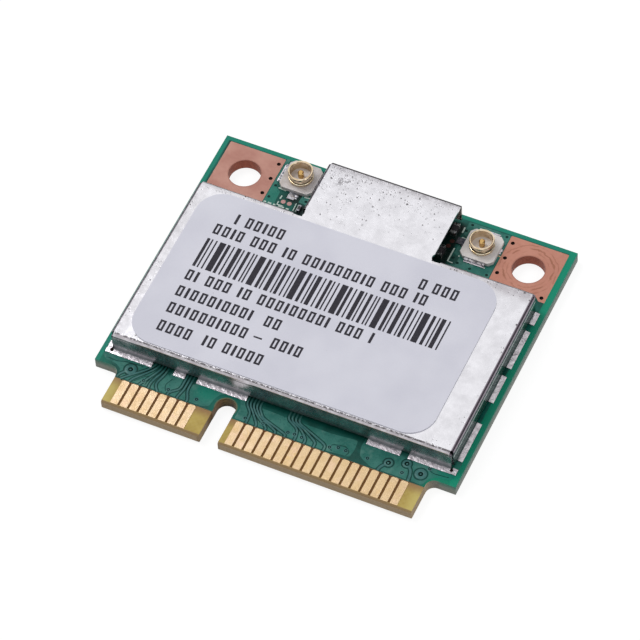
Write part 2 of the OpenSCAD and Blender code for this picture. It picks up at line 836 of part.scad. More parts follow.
module shield_solder_back() {
    color([0.82, 0.83, 0.84]) {
        facing_back(can_back) {
            strips(back_feet);
            strips(turned(back_feet));
        }
        facing_left(tab_left) strips(turned(tab_side_feet), tab_solder_w);
        facing_back(tab_back) strips(turned(tab_back_feet));
    }
}

// Label

module label() {
    color([0.81, 0.81, 0.86])
        translate([0, 0, can_top])
            linear_extrude(label_t)
                rounded_rect(
                    [-can_x + label_left_gap, can_front + label_front_gap],
                    [can_x - label_right_gap, can_back - label_back_gap],
                    label_r
                );
}

// Antenna receptacles, each made about its own axis with its tail towards -Y

// The part of the outer contact's right tab that crosses the insulator
module ground_tab() {
    half = base_w / 2;
    translate([0, 0, shell_z])
        difference() {
            translate([0, -ground_w / 2, 0]) cube([half, ground_w, metal_t]);
            translate([0, 0, -over]) cylinder(r = (ring_in_r + ring_foot_r) / 2, h = 2 * over);
        }
}

module both_sides() {
    children();
    mirror([1, 0, 0]) children();
}

module receptacle_insulator() {
    half = base_w / 2;
    color([0.78, 0.74, 0.72])
        difference() {
            union() {
                difference() {
                    linear_extrude(base_h)
                        polygon([
                            [-half + base_trim, -half], [half - base_trim, -half],
                            [half, -half + base_trim], [half, half - base_trim],
                            [half - base_trim, half], [-half + base_trim, half],
                            [-half, half - base_trim], [-half, -half + base_trim]
                        ]);
                    translate([0, 0, shell_z]) cylinder(r = ring_foot_r, h = base_h);
                }
                cylinder(r = ring_in_r, h = floor_h);
            }
            both_sides() ground_tab();
            centre_contact();
        }
}

// Ring with a lip, a groove and a foot, and a tab down to the board on each side
module receptacle_shell() {
    color([0.78, 0.68, 0.45]) {
        rotate_extrude()
            polygon([
                [ring_in_r, shell_z], [ring_foot_r, shell_z],
                [ring_foot_r, neck_z - ring_bevel], [neck_r, neck_z + ring_bevel],
                [neck_r, ring_h - lip_h - ring_bevel], [ring_r, ring_h - lip_h + ring_bevel],
                [ring_r, ring_h - ring_bevel], [ring_r - ring_bevel, ring_h],
                [ring_in_r + ring_bevel, ring_h], [ring_in_r, ring_h - ring_bevel]
            ]);
        both_sides() {
            ground_tab();
            translate([base_w / 2, -ground_w / 2, 0]) cube([ground_reach, ground_w, shell_z + metal_t]);
        }
    }
}

// Pin and tail of the centre contact
module centre_contact() {
    rotate_extrude()
        polygon([
            [0, 0], [pin_r, 0], [pin_r, pin_h - pin_bevel], [pin_r - pin_bevel, pin_h], [0, pin_h]
        ]);
    translate([-tail_w / 2, -base_w / 2 - tail_reach, 0]) cube([tail_w, base_w / 2 + tail_reach, metal_t]);
}

module receptacle_pin() {
    color([0.85, 0.68, 0.35]) centre_contact();
}

// Solder along the outer ends of both tabs and of the tail
module receptacle_joints() {
    half = base_w / 2;
    both_sides() translate([half + ground_reach, -ground_w / 2, 0]) cube([joint_w, ground_w, metal_t]);
    translate([-tail_w / 2, -half - tail_reach - tail_joint_l, 0])
        cube([tail_w, tail_joint_l, metal_t]);
}

module at_left_receptacle() translate([left_place.x, left_place.y, board_t]) children();
module at_right_receptacle()
    translate([right_place.x, right_place.y, board_t]) rotate([0, 0, -90]) children();

module left_receptacle_insulator() at_left_receptacle() receptacle_insulator();
module left_receptacle_shell() at_left_receptacle() receptacle_shell();
module left_receptacle_pin() at_left_receptacle() receptacle_pin();
module right_receptacle_insulator() at_right_receptacle() receptacle_insulator();
module right_receptacle_shell() at_right_receptacle() receptacle_shell();
module right_receptacle_pin() at_right_receptacle() receptacle_pin();

module receptacle_solder() {
    color([0.82, 0.83, 0.84]) {
        at_left_receptacle() receptacle_joints();
        at_right_receptacle() receptacle_joints();
    }
}

// Chips under the can

module on_board(place) translate([place.x, place.y, board_t]) children();

// Leads along the four edges of the radio chip, and its heat pad
module lead_frame() {
    block(pad_w, pad_w, lead_t);
    for (turn = [0:90:270])
        rotate(turn)
            for (i = [0:leads_n - 1])
                translate([(i - (leads_n - 1) / 2) * lead_pitch, -chip_w / 2 + lead_l / 2, 0])
                    block(lead_w, lead_l, lead_t);
}

module radio_chip() {
    color([0.1, 0.1, 0.11])
        on_board(chip_centre)
            difference() {
                block(chip_w, chip_w, chip_h);
                lead_frame();
            }
}

module radio_chip_leads() {
    color([0.75, 0.74, 0.7]) on_board(chip_centre) lead_frame();
}

module crystal_base() {
    color([0.7, 0.68, 0.62]) on_board(clock_centre) block(clock_w, clock_l, clock_base_h);
}

module crystal_lid() {
    w = clock_w - 2 * clock_margin;
    l = clock_l - 2 * clock_margin;
    color([0.8, 0.78, 0.7])
        on_board(clock_centre)
            translate([0, 0, clock_base_h])
                linear_extrude(clock_lid_h)
                    rounded_rect([-w / 2, -l / 2], [w / 2, l / 2], clock_margin);
}

// Four leads on each long side of the memory chip
module memory_leads() {
    step = memory_w / 4;
    for (i = [0:3], side = [-1, 1])
        translate([(i - 1.5) * step, side * (memory_l - lead_l) / 2, 0]) block(step / 2, lead_l, lead_t);
}

module memory_chip() {
    color([0.12, 0.12, 0.13])
        on_board(memory_centre)
            difference() {
                block(memory_w, memory_l, memory_h);
                memory_leads();
            }
}

module memory_chip_leads() {
    color([0.75, 0.74, 0.7]) on_board(memory_centre) memory_leads();
}

// A lead that leaves the body half way up, bends down and ends flat on the board
module wing() {
    exit_z = regulator_h / 2;
    bend_y = wing_reach - wing_foot_l;
    rotate([90, 0, 90])
        translate([regulator_l / 2, 0, -wing_w / 2])
            linear_extrude(wing_w)
                polygon([
                    [0, exit_z], [0, exit_z + wing_t], [bend_y + wing_t, exit_z + wing_t],
                    [bend_y + wing_t, wing_t], [wing_reach, wing_t], [wing_reach, 0],
                    [bend_y, 0], [bend_y, exit_z]
                ]);
}

module regulator() {
    color([0.13, 0.13, 0.14])
        on_board(regulator_centre)
            translate([0, 0, regulator_gap])
                moulded(regulator_w, regulator_l, regulator_h - regulator_gap, mould_bevel);
}

module regulator_leads() {
    step = regulator_w / 3;
    color([0.78, 0.77, 0.74])
        on_board(regulator_centre) {
            for (i = [-1, 0, 1]) translate([i * step, 0, 0]) wing();
            for (i = [-1, 1]) translate([i * step, 0, 0]) rotate(180) wing();
        }
}

module power_inductor() {
    color([0.25, 0.25, 0.27])
        on_board(inductor_centre)
            moulded(inductor_w - 2 * inductor_end, inductor_l, inductor_h, mould_bevel);
}

module inductor_terminals() {
    color([0.8, 0.8, 0.78])
        on_board(inductor_centre)
            for (side = [-1, 1])
                translate([side * (inductor_w - inductor_end) / 2, 0, 0])
                    moulded(inductor_end, inductor_l, inductor_h, mould_bevel);
}

// Substrate with a moulded cover that is set back a little
module front_end() {
    cover_w = front_end_w - 2 * cover_margin;
    color([0.16, 0.16, 0.17]) {
        block(front_end_w, front_end_w, substrate_t);
        translate([0, 0, substrate_t]) block(cover_w, cover_w, front_end_h - substrate_t);
    }
}

module front_end_left() on_board([tab_left + front_end_x, can_back - front_end_y]) front_end();
module front_end_right() on_board([tab_right - front_end_x, can_back - front_end_y]) front_end();

module band_filters() {
    color([0.86, 0.86, 0.82])
        for (i = [0:2])
            on_board([tab_left + filter_x + i * (filter_w + filter_gap), filter_centre_y])
                block(filter_w, filter_l, filter_h);
}

// Small parts

module part_body(l, w, h, end) block(l - 2 * end, w, h);

module part_ends(l, w, h, end) {
    for (side = [-1, 1]) translate([side * (l - end) / 2, 0, 0]) block(end, w, h);
}

module at_places(places) {
    for (p = places) on_board(p) rotate(p.z) children();
}

module capacitor_bodies() {
    color([0.66, 0.52, 0.38]) at_places(capacitor_places) part_body(small_l, small_w, cap_h, end_cap);
}

module capacitor_ends() {
    color([0.82, 0.82, 0.82]) at_places(capacitor_places) part_ends(small_l, small_w, cap_h, end_cap);
}

module resistor_bodies() {
    color([0.1, 0.1, 0.11]) at_places(resistor_places) part_body(small_l, small_w, res_h, end_cap);
}

module resistor_ends() {
    color([0.82, 0.82, 0.82]) at_places(resistor_places) part_ends(small_l, small_w, res_h, end_cap);
}

module supply_capacitor_bodies() {
    color([0.6, 0.48, 0.36])
        at_places(supply_places) part_body(supply_l, supply_w, supply_h, supply_end);
}

module supply_capacitor_ends() {
    color([0.82, 0.82, 0.82])
        at_places(supply_places) part_ends(supply_l, supply_w, supply_h, supply_end);
}

module matching_bodies() {
    color([0.2, 0.19, 0.2]) at_places(matching_places) part_body(small_l, small_w, cap_h, end_cap);
}

module matching_ends() {
    color([0.82, 0.82, 0.82]) at_places(matching_places) part_ends(small_l, small_w, cap_h, end_cap);
}

board();
contacts_top_short();
contacts_top_long();
contacts_bottom_short();
contacts_bottom_long();
screw_land_left();
screw_land_right();
test_pads();
bare_pads();
shield_can();
shield_solder_front();
shield_solder_right();
shield_solder_left();
shield_solder_back();
label();
left_receptacle_insulator();
left_receptacle_shell();
left_receptacle_pin();
right_receptacle_insulator();
right_receptacle_shell();
right_receptacle_pin();
receptacle_solder();
radio_chip();
radio_chip_leads();
crystal_base();
crystal_lid();
memory_chip();
memory_chip_leads();
regulator();
regulator_leads();
power_inductor();
inductor_terminals();
front_end_left();
front_end_right();
band_filters();
capacitor_bodies();
capacitor_ends();
resistor_bodies();
resistor_ends();
supply_capacitor_bodies();
supply_capacitor_ends();
matching_bodies();
matching_ends();
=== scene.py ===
import math

import bpy
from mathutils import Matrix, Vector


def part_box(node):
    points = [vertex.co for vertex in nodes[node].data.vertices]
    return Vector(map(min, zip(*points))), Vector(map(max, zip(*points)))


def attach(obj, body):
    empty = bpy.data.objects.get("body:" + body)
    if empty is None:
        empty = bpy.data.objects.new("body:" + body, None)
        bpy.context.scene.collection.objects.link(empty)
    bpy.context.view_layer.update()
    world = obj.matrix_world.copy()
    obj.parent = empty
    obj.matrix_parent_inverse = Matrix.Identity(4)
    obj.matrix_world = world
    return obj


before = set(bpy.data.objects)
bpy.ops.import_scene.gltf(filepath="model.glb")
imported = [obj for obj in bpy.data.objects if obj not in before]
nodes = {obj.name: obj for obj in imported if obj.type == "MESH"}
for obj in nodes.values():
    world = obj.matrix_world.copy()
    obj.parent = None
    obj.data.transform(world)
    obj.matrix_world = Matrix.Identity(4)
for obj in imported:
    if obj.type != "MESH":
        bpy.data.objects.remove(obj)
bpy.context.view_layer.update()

MM = 0.001

# Heights and edges of the CAD part, in millimetres
BOARD_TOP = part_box("board")[1].z / MM
BOARD_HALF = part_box("board")[1].x / MM
BOARD_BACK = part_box("board")[1].y / MM
LABEL_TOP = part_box("label")[1].z / MM
CAN_LOW, CAN_HIGH = [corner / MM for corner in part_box("shield_can")]
MASK_EDGE = -11.0
HOLE_R = 1.3
BEND = 0.25
TAB_ROOT = 7.22
TAB_LEFT = -5.65
SLOT_X = -3.85

# Places on the card that a colour or a form is centred on, in millimetres
SLOT_END = (SLOT_X, -10.25)
LEFT_HOLE = (-12.1, 10.5)
RIGHT_HOLE = (12.1, 10.5)
LEFT_AXIS = (-7.7, 11.6)
RIGHT_AXIS = (8.03, 10.93)
LEFT_TAIL = (-7.7, 9.9)
TAIL_SHADE = (-7.3, 9.95)
RIGHT_FOOT = (6.1, 11.0)
NOTCH_SHADE = (-6.5, 8.85)
NOTCH_PART = (-6.62, 8.86)
TAB_CORNER = (-3.9, 11.6)
LEFT_PADS = (-7.85, 9.1)
BESIDE_LAND = (-9.2, 9.4)
BESIDE_SLOT = (-5.7, -9.5)
FRONT_LEFT = (-14.6, -10.0)
FRONT_RIGHT = (14.2, -10.4)
RIGHT_SHOULDER = (14.3, -9.6)


# Camera

camera_data = bpy.data.cameras.new("camera")
camera_data.sensor_width = 36.0
camera_data.lens = 234.4
camera_data.clip_start = 0.01
camera_data.clip_end = 5.0
camera = bpy.data.objects.new("camera", camera_data)
bpy.context.scene.collection.objects.link(camera)
camera.location = (0.08783229, -0.16440097, 0.25944805)
camera.rotation_euler = (0.62401835, 0.04485219, 0.43200746)
bpy.context.scene.camera = camera


# Node helpers

def linear(value):
    value = value / 255.0
    if value <= 0.04045:
        return value / 12.92
    return ((value + 0.055) / 1.055) ** 2.4


def rgb(red, green, blue):
    return (linear(red), linear(green), linear(blue), 1.0)


class Tree:
    """The nodes of one material or of the world."""

    def __init__(self, owner):
        owner.use_nodes = True
        self.nodes = owner.node_tree.nodes
        self.links = owner.node_tree.links
        self.nodes.clear()

    def add(self, kind):
        return self.nodes.new("ShaderNode" + kind)

    def feed(self, node, values):
        """Sets or links each named or numbered socket of the node."""
        for socket, value in values.items():
            if isinstance(value, bpy.types.NodeSocket):
                self.links.new(value, node.inputs[socket])
            else:
                node.inputs[socket].default_value = value
        return node

    def calc(self, operation, first, second=0.0):
        node = self.add("Math")
        node.operation = operation
        return self.feed(node, {0: first, 1: second}).outputs[0]

    def chain(self, operation, values):
        result = values[0]
        for value in values[1:]:
            result = self.calc(operation, result, value)
        return result

    def times(self, *values):
        return self.chain("MULTIPLY", values)

    def plus(self, *values):
        return self.chain("ADD", values)

    def most(self, *values):
        return self.chain("MAXIMUM", values)

    def least(self, *values):
        return self.chain("MINIMUM", values)

    def less(self, value, amount):
        return self.calc("SUBTRACT", value, amount)

    def absolute(self, value):
        return self.calc("ABSOLUTE", value)

    def sine(self, value):
        return self.calc("SINE", value)

    def smooth(self, value, low, high, to_low, to_high):
        """An eased step from to_low below low to to_high above high."""
        node = self.add("MapRange")
        node.interpolation_type = "SMOOTHSTEP"
        self.feed(node, {"Value": value, "From Min": low, "From Max": high})
        self.feed(node, {"To Min": to_low, "To Max": to_high})
        return node.outputs["Result"]

    def rise(self, value, low, high, amount=1.0):
        return self.smooth(value, low, high, 0.0, amount)

    def fall(self, value, low, high, amount=1.0):
        return self.smooth(value, low, high, amount, 0.0)

    def between(self, value, low, high, soft=0.02):
        past_low = self.rise(value, low - soft, low + soft)
        return self.times(past_low, self.fall(value, high - soft, high + soft))

    def band(self, value, middle, half, soft):
        """1 within half of middle, falling to 0 over soft."""
        return self.fall(self.absolute(self.less(value, middle)), half, half + soft)


class Graph(Tree):
    """One material's nodes, with coordinates in millimetres."""

    def __init__(self, name, color, metallic, roughness, specular):
        self.material = bpy.data.materials.new(name)
        super().__init__(self.material)
        self.material.diffuse_color = color
        self.shader = self.feed(self.add("BsdfPrincipled"), {"Base Color": color, "Metallic": metallic})
        self.feed(self.shader, {"Roughness": roughness, "Specular IOR Level": specular})
        self.feed(self.add("OutputMaterial"), {"Surface": self.shader.outputs[0]})
        scale = self.add("VectorMath")
        scale.operation = "SCALE"
        self.feed(scale, {0: self.add("TexCoord").outputs["Object"], "Scale": 1.0 / MM})
        self.at = scale.outputs[0]
        self.x, self.y, self.z = self.feed(self.add("SeparateXYZ"), {0: self.at}).outputs

    def normal_z(self):
        normal = self.add("NewGeometry").outputs["True Normal"]
        return self.feed(self.add("SeparateXYZ"), {0: normal}).outputs[2]

    def moved(self, operation, amounts):
        node = self.add("VectorMath")
        node.operation = operation
        return self.feed(node, {0: self.at, 1: amounts}).outputs[0]

    def stretch(self, *factors):
        return self.moved("MULTIPLY", factors)

    def shift(self, *steps):
        return self.moved("ADD", steps)

    def noise(self, scale, detail, rough=0.5, at=None, warp=0.0):
        node = self.feed(self.add("TexNoise"), {"Vector": at or self.at, "Scale": scale, "Detail": detail})
        return self.feed(node, {"Roughness": rough, "Distortion": warp}).outputs["Fac"]

    def clouds(self, scale, detail, rough, low, high, to_low=0.0, to_high=1.0, at=None):
        """Noise, eased from to_low where it is below low to to_high where it is above high."""
        return self.smooth(self.noise(scale, detail, rough, at), low, high, to_low, to_high)

    def cells(self, scale, at=None, output="Distance", flat=False):
        node = self.add("TexVoronoi")
        if flat:
            node.voronoi_dimensions = "2D"
        return self.feed(node, {"Vector": at or self.at, "Scale": scale}).outputs[output]

    def distance(self, place):
        across = self.less(self.x, place[0])
        along = self.less(self.y, place[1])
        return self.calc("SQRT", self.plus(self.times(across, across), self.times(along, along)))

    def near(self, place, low, high, amount):
        """The amount within low of a place, falling to 0 at high."""
        return self.fall(self.distance(place), low, high, amount)

    def on_top(self, amount=1.0):
        """The amount on the board's upper side, 0 on its underside."""
        return self.rise(self.z, 0.4, 0.6, amount)

    def mix(self, amount, first, second):
        node = self.add("Mix")
        node.data_type = "RGBA"
        return self.feed(node, {0: amount, 6: first, 7: second}).outputs[2]

    def mottle(self, scale, dark, light):
        """Soft clouds of one colour in the other."""
        return self.mix(self.clouds(scale, 3.0, 0.6, 0.3, 0.7), dark, light)

    def color(self, value):
        self.feed(self.shader, {"Base Color": value})

    def roughness(self, value):
        self.feed(self.shader, {"Roughness": value})

    def metallic(self, value):
        self.feed(self.shader, {"Metallic": value})

    def bump(self, height, depth, strength):
        node = self.feed(self.add("Bump"), {"Strength": strength, "Distance": depth * MM, "Height": height})
        self.feed(self.shader, {"Normal": node.outputs[0]})


# Materials of the board

LANE_SHADE = rgb(1, 18, 15)
FOOT_SHADE = rgb(44, 46, 56)


def mask_variation(graph, dark, light):
    return graph.mix(graph.clouds(0.45, 3.0, 0.6, 0.35, 0.65), dark, light)


def between_contacts(graph):
    """1 on the laminate between the contacts of a group, 0 beside the groups."""
    groups = []
    for name in ("contacts_top_short", "contacts_top_long"):
        low, high = [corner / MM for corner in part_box(name)]
        groups.append(graph.between(graph.x, low.x + 0.02, high.x - 0.02))
    across = graph.most(groups[0], groups[1])
    low, high = [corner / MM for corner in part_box("contacts_top_short")]
    along = graph.between(graph.y, low.y + 0.02, high.y + 0.1)
    return graph.times(across, along)


def laminate_color(graph):
    base = graph.mottle(0.5, rgb(166, 141, 72), rgb(186, 163, 88))
    warp = graph.sine(graph.times(graph.x, 14.0))
    weft = graph.sine(graph.times(graph.y, 14.0))
    weave = graph.times(warp, weft)
    base = graph.mix(graph.rise(weave, -0.9, 0.9, 0.09), base, rgb(210, 196, 136))
    ends = graph.rise(graph.absolute(graph.x), 11.9, 12.7, 0.7)
    base = graph.mix(ends, base, rgb(202, 186, 112))
    stain = graph.near(SLOT_END, 0.8, 1.1, 0.6)
    base = graph.mix(stain, base, rgb(138, 100, 58))
    near_mask = graph.rise(graph.y, -12.0, MASK_EDGE, 0.72)
    base = graph.mix(near_mask, base, rgb(138, 98, 76))
    bevel = graph.fall(graph.y, -13.3, -13.2, 0.85)
    base = graph.mix(bevel, base, rgb(146, 120, 92))
    # Dark brown between the contacts: partly the etched laminate, partly painted shade in the gaps
    return graph.mix(graph.times(between_contacts(graph), 0.92), base, rgb(92, 52, 6))


def edge_color(graph):
    layers = graph.sine(graph.times(graph.z, 42.0))
    fibre = graph.noise(1.0, 4.0, 0.7, graph.stretch(5.0, 5.0, 28.0))
    fibres = graph.rise(fibre, 0.3, 0.7)
    tongue = graph.mix(fibres, rgb(190, 164, 132), rgb(222, 198, 166))
    tongue = graph.mix(graph.rise(layers, -1.0, 1.0, 0.25), tongue, rgb(196, 182, 156))
    upper = graph.mix(fibres, rgb(58, 128, 112), rgb(96, 150, 134))
    lower = graph.mix(fibres, rgb(140, 148, 140), rgb(176, 180, 172))
    behind = graph.mix(graph.rise(graph.z, 0.35, 0.95), lower, upper)
    notch = graph.rise(graph.x, 13.9, 13.4, 0.7)
    notch = graph.times(notch, graph.rise(graph.x, 12.0, 12.4))
    behind = graph.mix(notch, behind, graph.mix(fibres, rgb(126, 124, 118), rgb(162, 156, 148)))
    face = graph.mix(graph.rise(graph.y, -10.9, -10.0), tongue, behind)

    # The slot's wall, streaked where the cutter heated it, darkest at its top
    burnt = graph.smooth(graph.distance(SLOT_END), 1.2, 2.2, 1.0, 0.35)
    in_slot = graph.between(graph.x, SLOT_X - 0.95, SLOT_X + 0.95)
    streaks = graph.clouds(1.0, 3.0, 0.7, 0.38, 0.6, at=graph.stretch(2.0, 2.0, 9.0))
    charred = graph.mix(streaks, rgb(50, 42, 32), rgb(124, 104, 62))
    left_wall = graph.fall(graph.x, SLOT_X - 0.75, SLOT_X - 0.45, 0.7)
    charred = graph.mix(left_wall, charred, rgb(132, 98, 62))
    # Darker towards the bottom of the wall
    charred = graph.mix(graph.fall(graph.z, 0.1, 0.4, 0.6), charred, rgb(40, 34, 28))
    return graph.mix(graph.times(burnt, in_slot), face, charred)


def beside_tab(graph):
    """The shade in the narrow lane between the tab and the right receptacle."""
    across = graph.between(graph.x, 4.0, 6.0, 0.14)
    along = graph.between(graph.y, 8.3, 12.5, 0.25)
    return graph.times(across, along, graph.on_top(0.95))


def beside_can(graph):
    """The shade along the foot of the can's front."""
    across = graph.between(graph.x, CAN_LOW.x, CAN_HIGH.x, 0.1)
    before = graph.rise(graph.y, CAN_LOW.y - 0.47, CAN_LOW.y - 0.12, 0.55)
    behind = graph.fall(graph.y, CAN_LOW.y + 0.78, CAN_LOW.y + 1.18)
    return graph.times(across, before, behind, graph.on_top())


def board_material():
    graph = Graph("mask_and_laminate", rgb(8, 84, 70), 0.0, 0.34, 0.2)
    mask = mask_variation(graph, rgb(6, 66, 58), rgb(14, 91, 81))
    around_slot = graph.near(SLOT_END, 1.1, 1.7, 0.8)
    mask = graph.mix(around_slot, mask, rgb(4, 98, 84))
    brown_rim = graph.near(SLOT_END, 0.84, 0.94, 0.7)
    mask = graph.mix(brown_rim, mask, rgb(112, 104, 74))
    mask = graph.mix(beside_tab(graph), mask, LANE_SHADE)
    mask = graph.mix(beside_can(graph), mask, rgb(2, 50, 43))
    tail_shade = graph.near(TAIL_SHADE, 0.5, 1.05, 0.85)
    notch_shade = graph.near(NOTCH_SHADE, 0.4, 0.75, 0.92)
    shade = graph.times(graph.most(tail_shade, notch_shade), graph.on_top())
    mask = graph.mix(shade, mask, rgb(2, 20, 20))
    bright = graph.near(FRONT_RIGHT, 0.9, 2.2, 0.8)
    mask = graph.mix(bright, mask, rgb(0, 132, 102))
    bright = graph.near(FRONT_LEFT, 0.3, 1.4, 0.7)
    mask = graph.mix(bright, mask, rgb(8, 108, 90))
    side_gap = graph.less(BOARD_HALF, graph.absolute(graph.x))
    back_gap = graph.less(BOARD_BACK, graph.y)
    rim_gap = graph.least(side_gap, back_gap)
    rim = graph.fall(rim_gap, 0.3, 0.42)
    mask = graph.mix(rim, mask, graph.mix(graph.noise(0.7, 3.0), rgb(10, 118, 98), rgb(24, 134, 114)))
    right_rim = graph.rise(graph.x, BOARD_HALF - 0.62, BOARD_HALF - 0.5, 0.85)
    mask = graph.mix(right_rim, mask, rgb(0, 138, 108))
    bare = graph.fall(graph.y, MASK_EDGE - 0.03, MASK_EDGE + 0.03)
    flat = graph.mix(bare, mask, laminate_color(graph))
    upright = graph.fall(graph.absolute(graph.normal_z()), 0.4, 0.5)
    side = edge_color(graph)
    from_hole = graph.least(graph.distance(LEFT_HOLE), graph.distance(RIGHT_HOLE))
    in_hole = graph.fall(from_hole, HOLE_R + 0.05, HOLE_R + 0.1)
    plated = graph.mix(graph.noise(4.0, 3.0), rgb(112, 58, 46), rgb(168, 98, 78))
    side = graph.mix(in_hole, side, plated)
    graph.color(graph.mix(upright, flat, side))
    grain = graph.noise(9.0, 3.0, 0.6)
    rough_flat = graph.plus(graph.times(bare, 0.2), graph.smooth(grain, 0.3, 0.7, 0.26, 0.38))
    graph.roughness(graph.plus(rough_flat, graph.times(upright, 0.25)))
    graph.metallic(graph.times(upright, in_hole, 0.8))
    weave = graph.plus(graph.sine(graph.times(graph.x, 12.0)), graph.sine(graph.times(graph.y, 12.0)))
    height = graph.plus(graph.times(weave, 0.12), grain)
    graph.bump(height, 0.012, 0.7)
    return graph.material


def covered_material(name, dark, light, patch=None):
    """Solder mask over copper."""
    graph = Graph(name, light, 0.0, 0.32, 0.2)
    tone = mask_variation(graph, dark, light)
    spots = graph.clouds(5.0, 2.0, 0.5, 0.52, 0.72, 0.0, 0.4)
    tone = graph.mix(spots, tone, rgb(8, 70, 62))
    pale = graph.clouds(1.1, 3.0, 0.6, 0.5, 0.68, 0.0, 0.5, at=graph.shift(9.0, 3.0, 0.0))
    tone = graph.mix(pale, tone, rgb(90, 134, 124))
    if patch:
        beside_slot = graph.near(BESIDE_SLOT, 0.3, 1.5, 0.85)
        beside_corner = graph.near(RIGHT_SHOULDER, 0.5, 2.0, 0.9)
        near_land = graph.near(BESIDE_LAND, 0.3, 1.6, 0.5)
        amount = graph.most(beside_slot, beside_corner, near_land)
        tone = graph.mix(amount, tone, patch)
        tone = graph.mix(beside_tab(graph), tone, LANE_SHADE)
    tone = graph.mix(beside_can(graph), tone, rgb(2, 54, 46))
    graph.color(tone)
    graph.roughness(graph.clouds(7.0, 3.0, 0.5, 0.3, 0.7, 0.26, 0.4))
    graph.bump(graph.noise(9.0, 3.0, 0.6), 0.012, 0.7)
    return graph.material


def dark_mask_material():
    graph = Graph("mask_in_hollows", rgb(2, 58, 52), 0.0, 0.3, 0.15)
    graph.color(mask_variation(graph, rgb(2, 54, 48), rgb(8, 72, 64)))
    graph.roughness(graph.clouds(7.0, 3.0, 0.5, 0.3, 0.7, 0.24, 0.36))
    graph.bump(graph.noise(12.0, 2.0), 0.01, 0.6)
    return graph.material


def gold_material():
    graph = Graph("contact_gold", rgb(222, 198, 164), 1.0, 0.36, 0.5)
    tone = graph.mix(graph.clouds(1.3, 3.0, 0.6, 0.35, 0.7), rgb(213, 190, 159), rgb(200, 173, 136))
    right_side = graph.rise(graph.x, -4.0, 4.0, 0.55)
    tone = graph.mix(right_side, tone, rgb(196, 170, 128))
    worn = graph.clouds(0.8, 4.0, 0.7, 0.55, 0.72, 0.0, 0.6, at=graph.shift(3.0, 7.0, 0.0))
    tone = graph.mix(worn, tone, rgb(204, 170, 110))
    rosy = graph.clouds(0.9, 3.0, 0.6, 0.52, 0.66, 0.0, 0.4, at=graph.shift(8.0, 1.0, 0.0))
    tone = graph.mix(rosy, tone, rgb(216, 184, 164))
    spots = graph.fall(graph.cells(4.0), 0.0, 0.14, 0.45)
    tone = graph.mix(spots, tone, rgb(176, 126, 70))
    fine = graph.clouds(13.0, 2.0, 0.6, 0.35, 0.65, 0.0, 0.34)
    graph.color(graph.mix(fine, tone, rgb(162, 132, 94)))
    scratch = graph.noise(1.0, 3.0, 0.7, graph.stretch(30.0, 1.4, 1.0))
    graph.roughness(graph.smooth(scratch, 0.3, 0.7, 0.28, 0.46))
    grain = graph.plus(graph.noise(14.0, 2.0), graph.times(scratch, 0.7))
    graph.bump(grain, 0.01, 0.6)
    return graph.material


def copper_material():
    graph = Graph("bare_copper", rgb(180, 130, 114), 0.5, 0.5, 0.4)
    tone = graph.mottle(0.5, rgb(164, 116, 104), rgb(178, 133, 120))
    right_side = graph.rise(graph.x, 8.0, 10.0, 0.5)
    tone = graph.mix(right_side, tone, rgb(192, 128, 106))
    cloud = graph.clouds(1.6, 4.0, 0.7, 0.5, 0.7, 0.0, 0.4, at=graph.shift(2.0, 9.0, 0.0))
    tone = graph.mix(graph.times(cloud, right_side), tone, rgb(150, 98, 66))
    spots = graph.fall(graph.cells(1.4), 0.0, 0.07, 0.45)
    tone = graph.mix(spots, tone, rgb(120, 74, 62))
    from_hole = graph.distance(RIGHT_HOLE)
    wander = graph.times(graph.less(graph.noise(1.3, 3.0, 0.6), 0.5), 0.5)
    reach = graph.plus(from_hole, wander)
    for radius, half, seed, amount in ((1.66, 0.02, 1.0, 0.3), (1.95, 0.04, 5.0, 0.55),
                                       (2.28, 0.02, 9.0, 0.4)):
        arc = graph.band(reach, radius, half, 0.05)
        broken = graph.clouds(0.9, 2.0, 0.5, 0.42, 0.56, at=graph.shift(seed, 2.0, 0.0))
        arc = graph.times(arc, broken, amount)
        tone = graph.mix(arc, tone, rgb(128, 80, 52))
    lip = graph.least(from_hole, graph.distance(LEFT_HOLE))
    tone = graph.mix(graph.fall(lip, HOLE_R + 0.02, HOLE_R + 0.12, 0.5), tone, rgb(136, 84, 70))
    pads_left = graph.near(LEFT_PADS, 0.9, 1.1, 0.75)
    tone = graph.mix(pads_left, tone, rgb(172, 134, 134))
    tone = graph.mix(beside_tab(graph), tone, rgb(62, 24, 20))
    graph.color(tone)
    graph.roughness(graph.clouds(3.0, 3.0, 0.6, 0.3, 0.7, 0.38, 0.54))
    brushed = graph.noise(1.0, 3.0, 0.7, graph.stretch(22.0, 3.0, 1.0))
    graph.bump(graph.plus(brushed, graph.noise(11.0, 3.0)), 0.008, 0.5)
    return graph.material


# Materials of the shield, the solder and the label

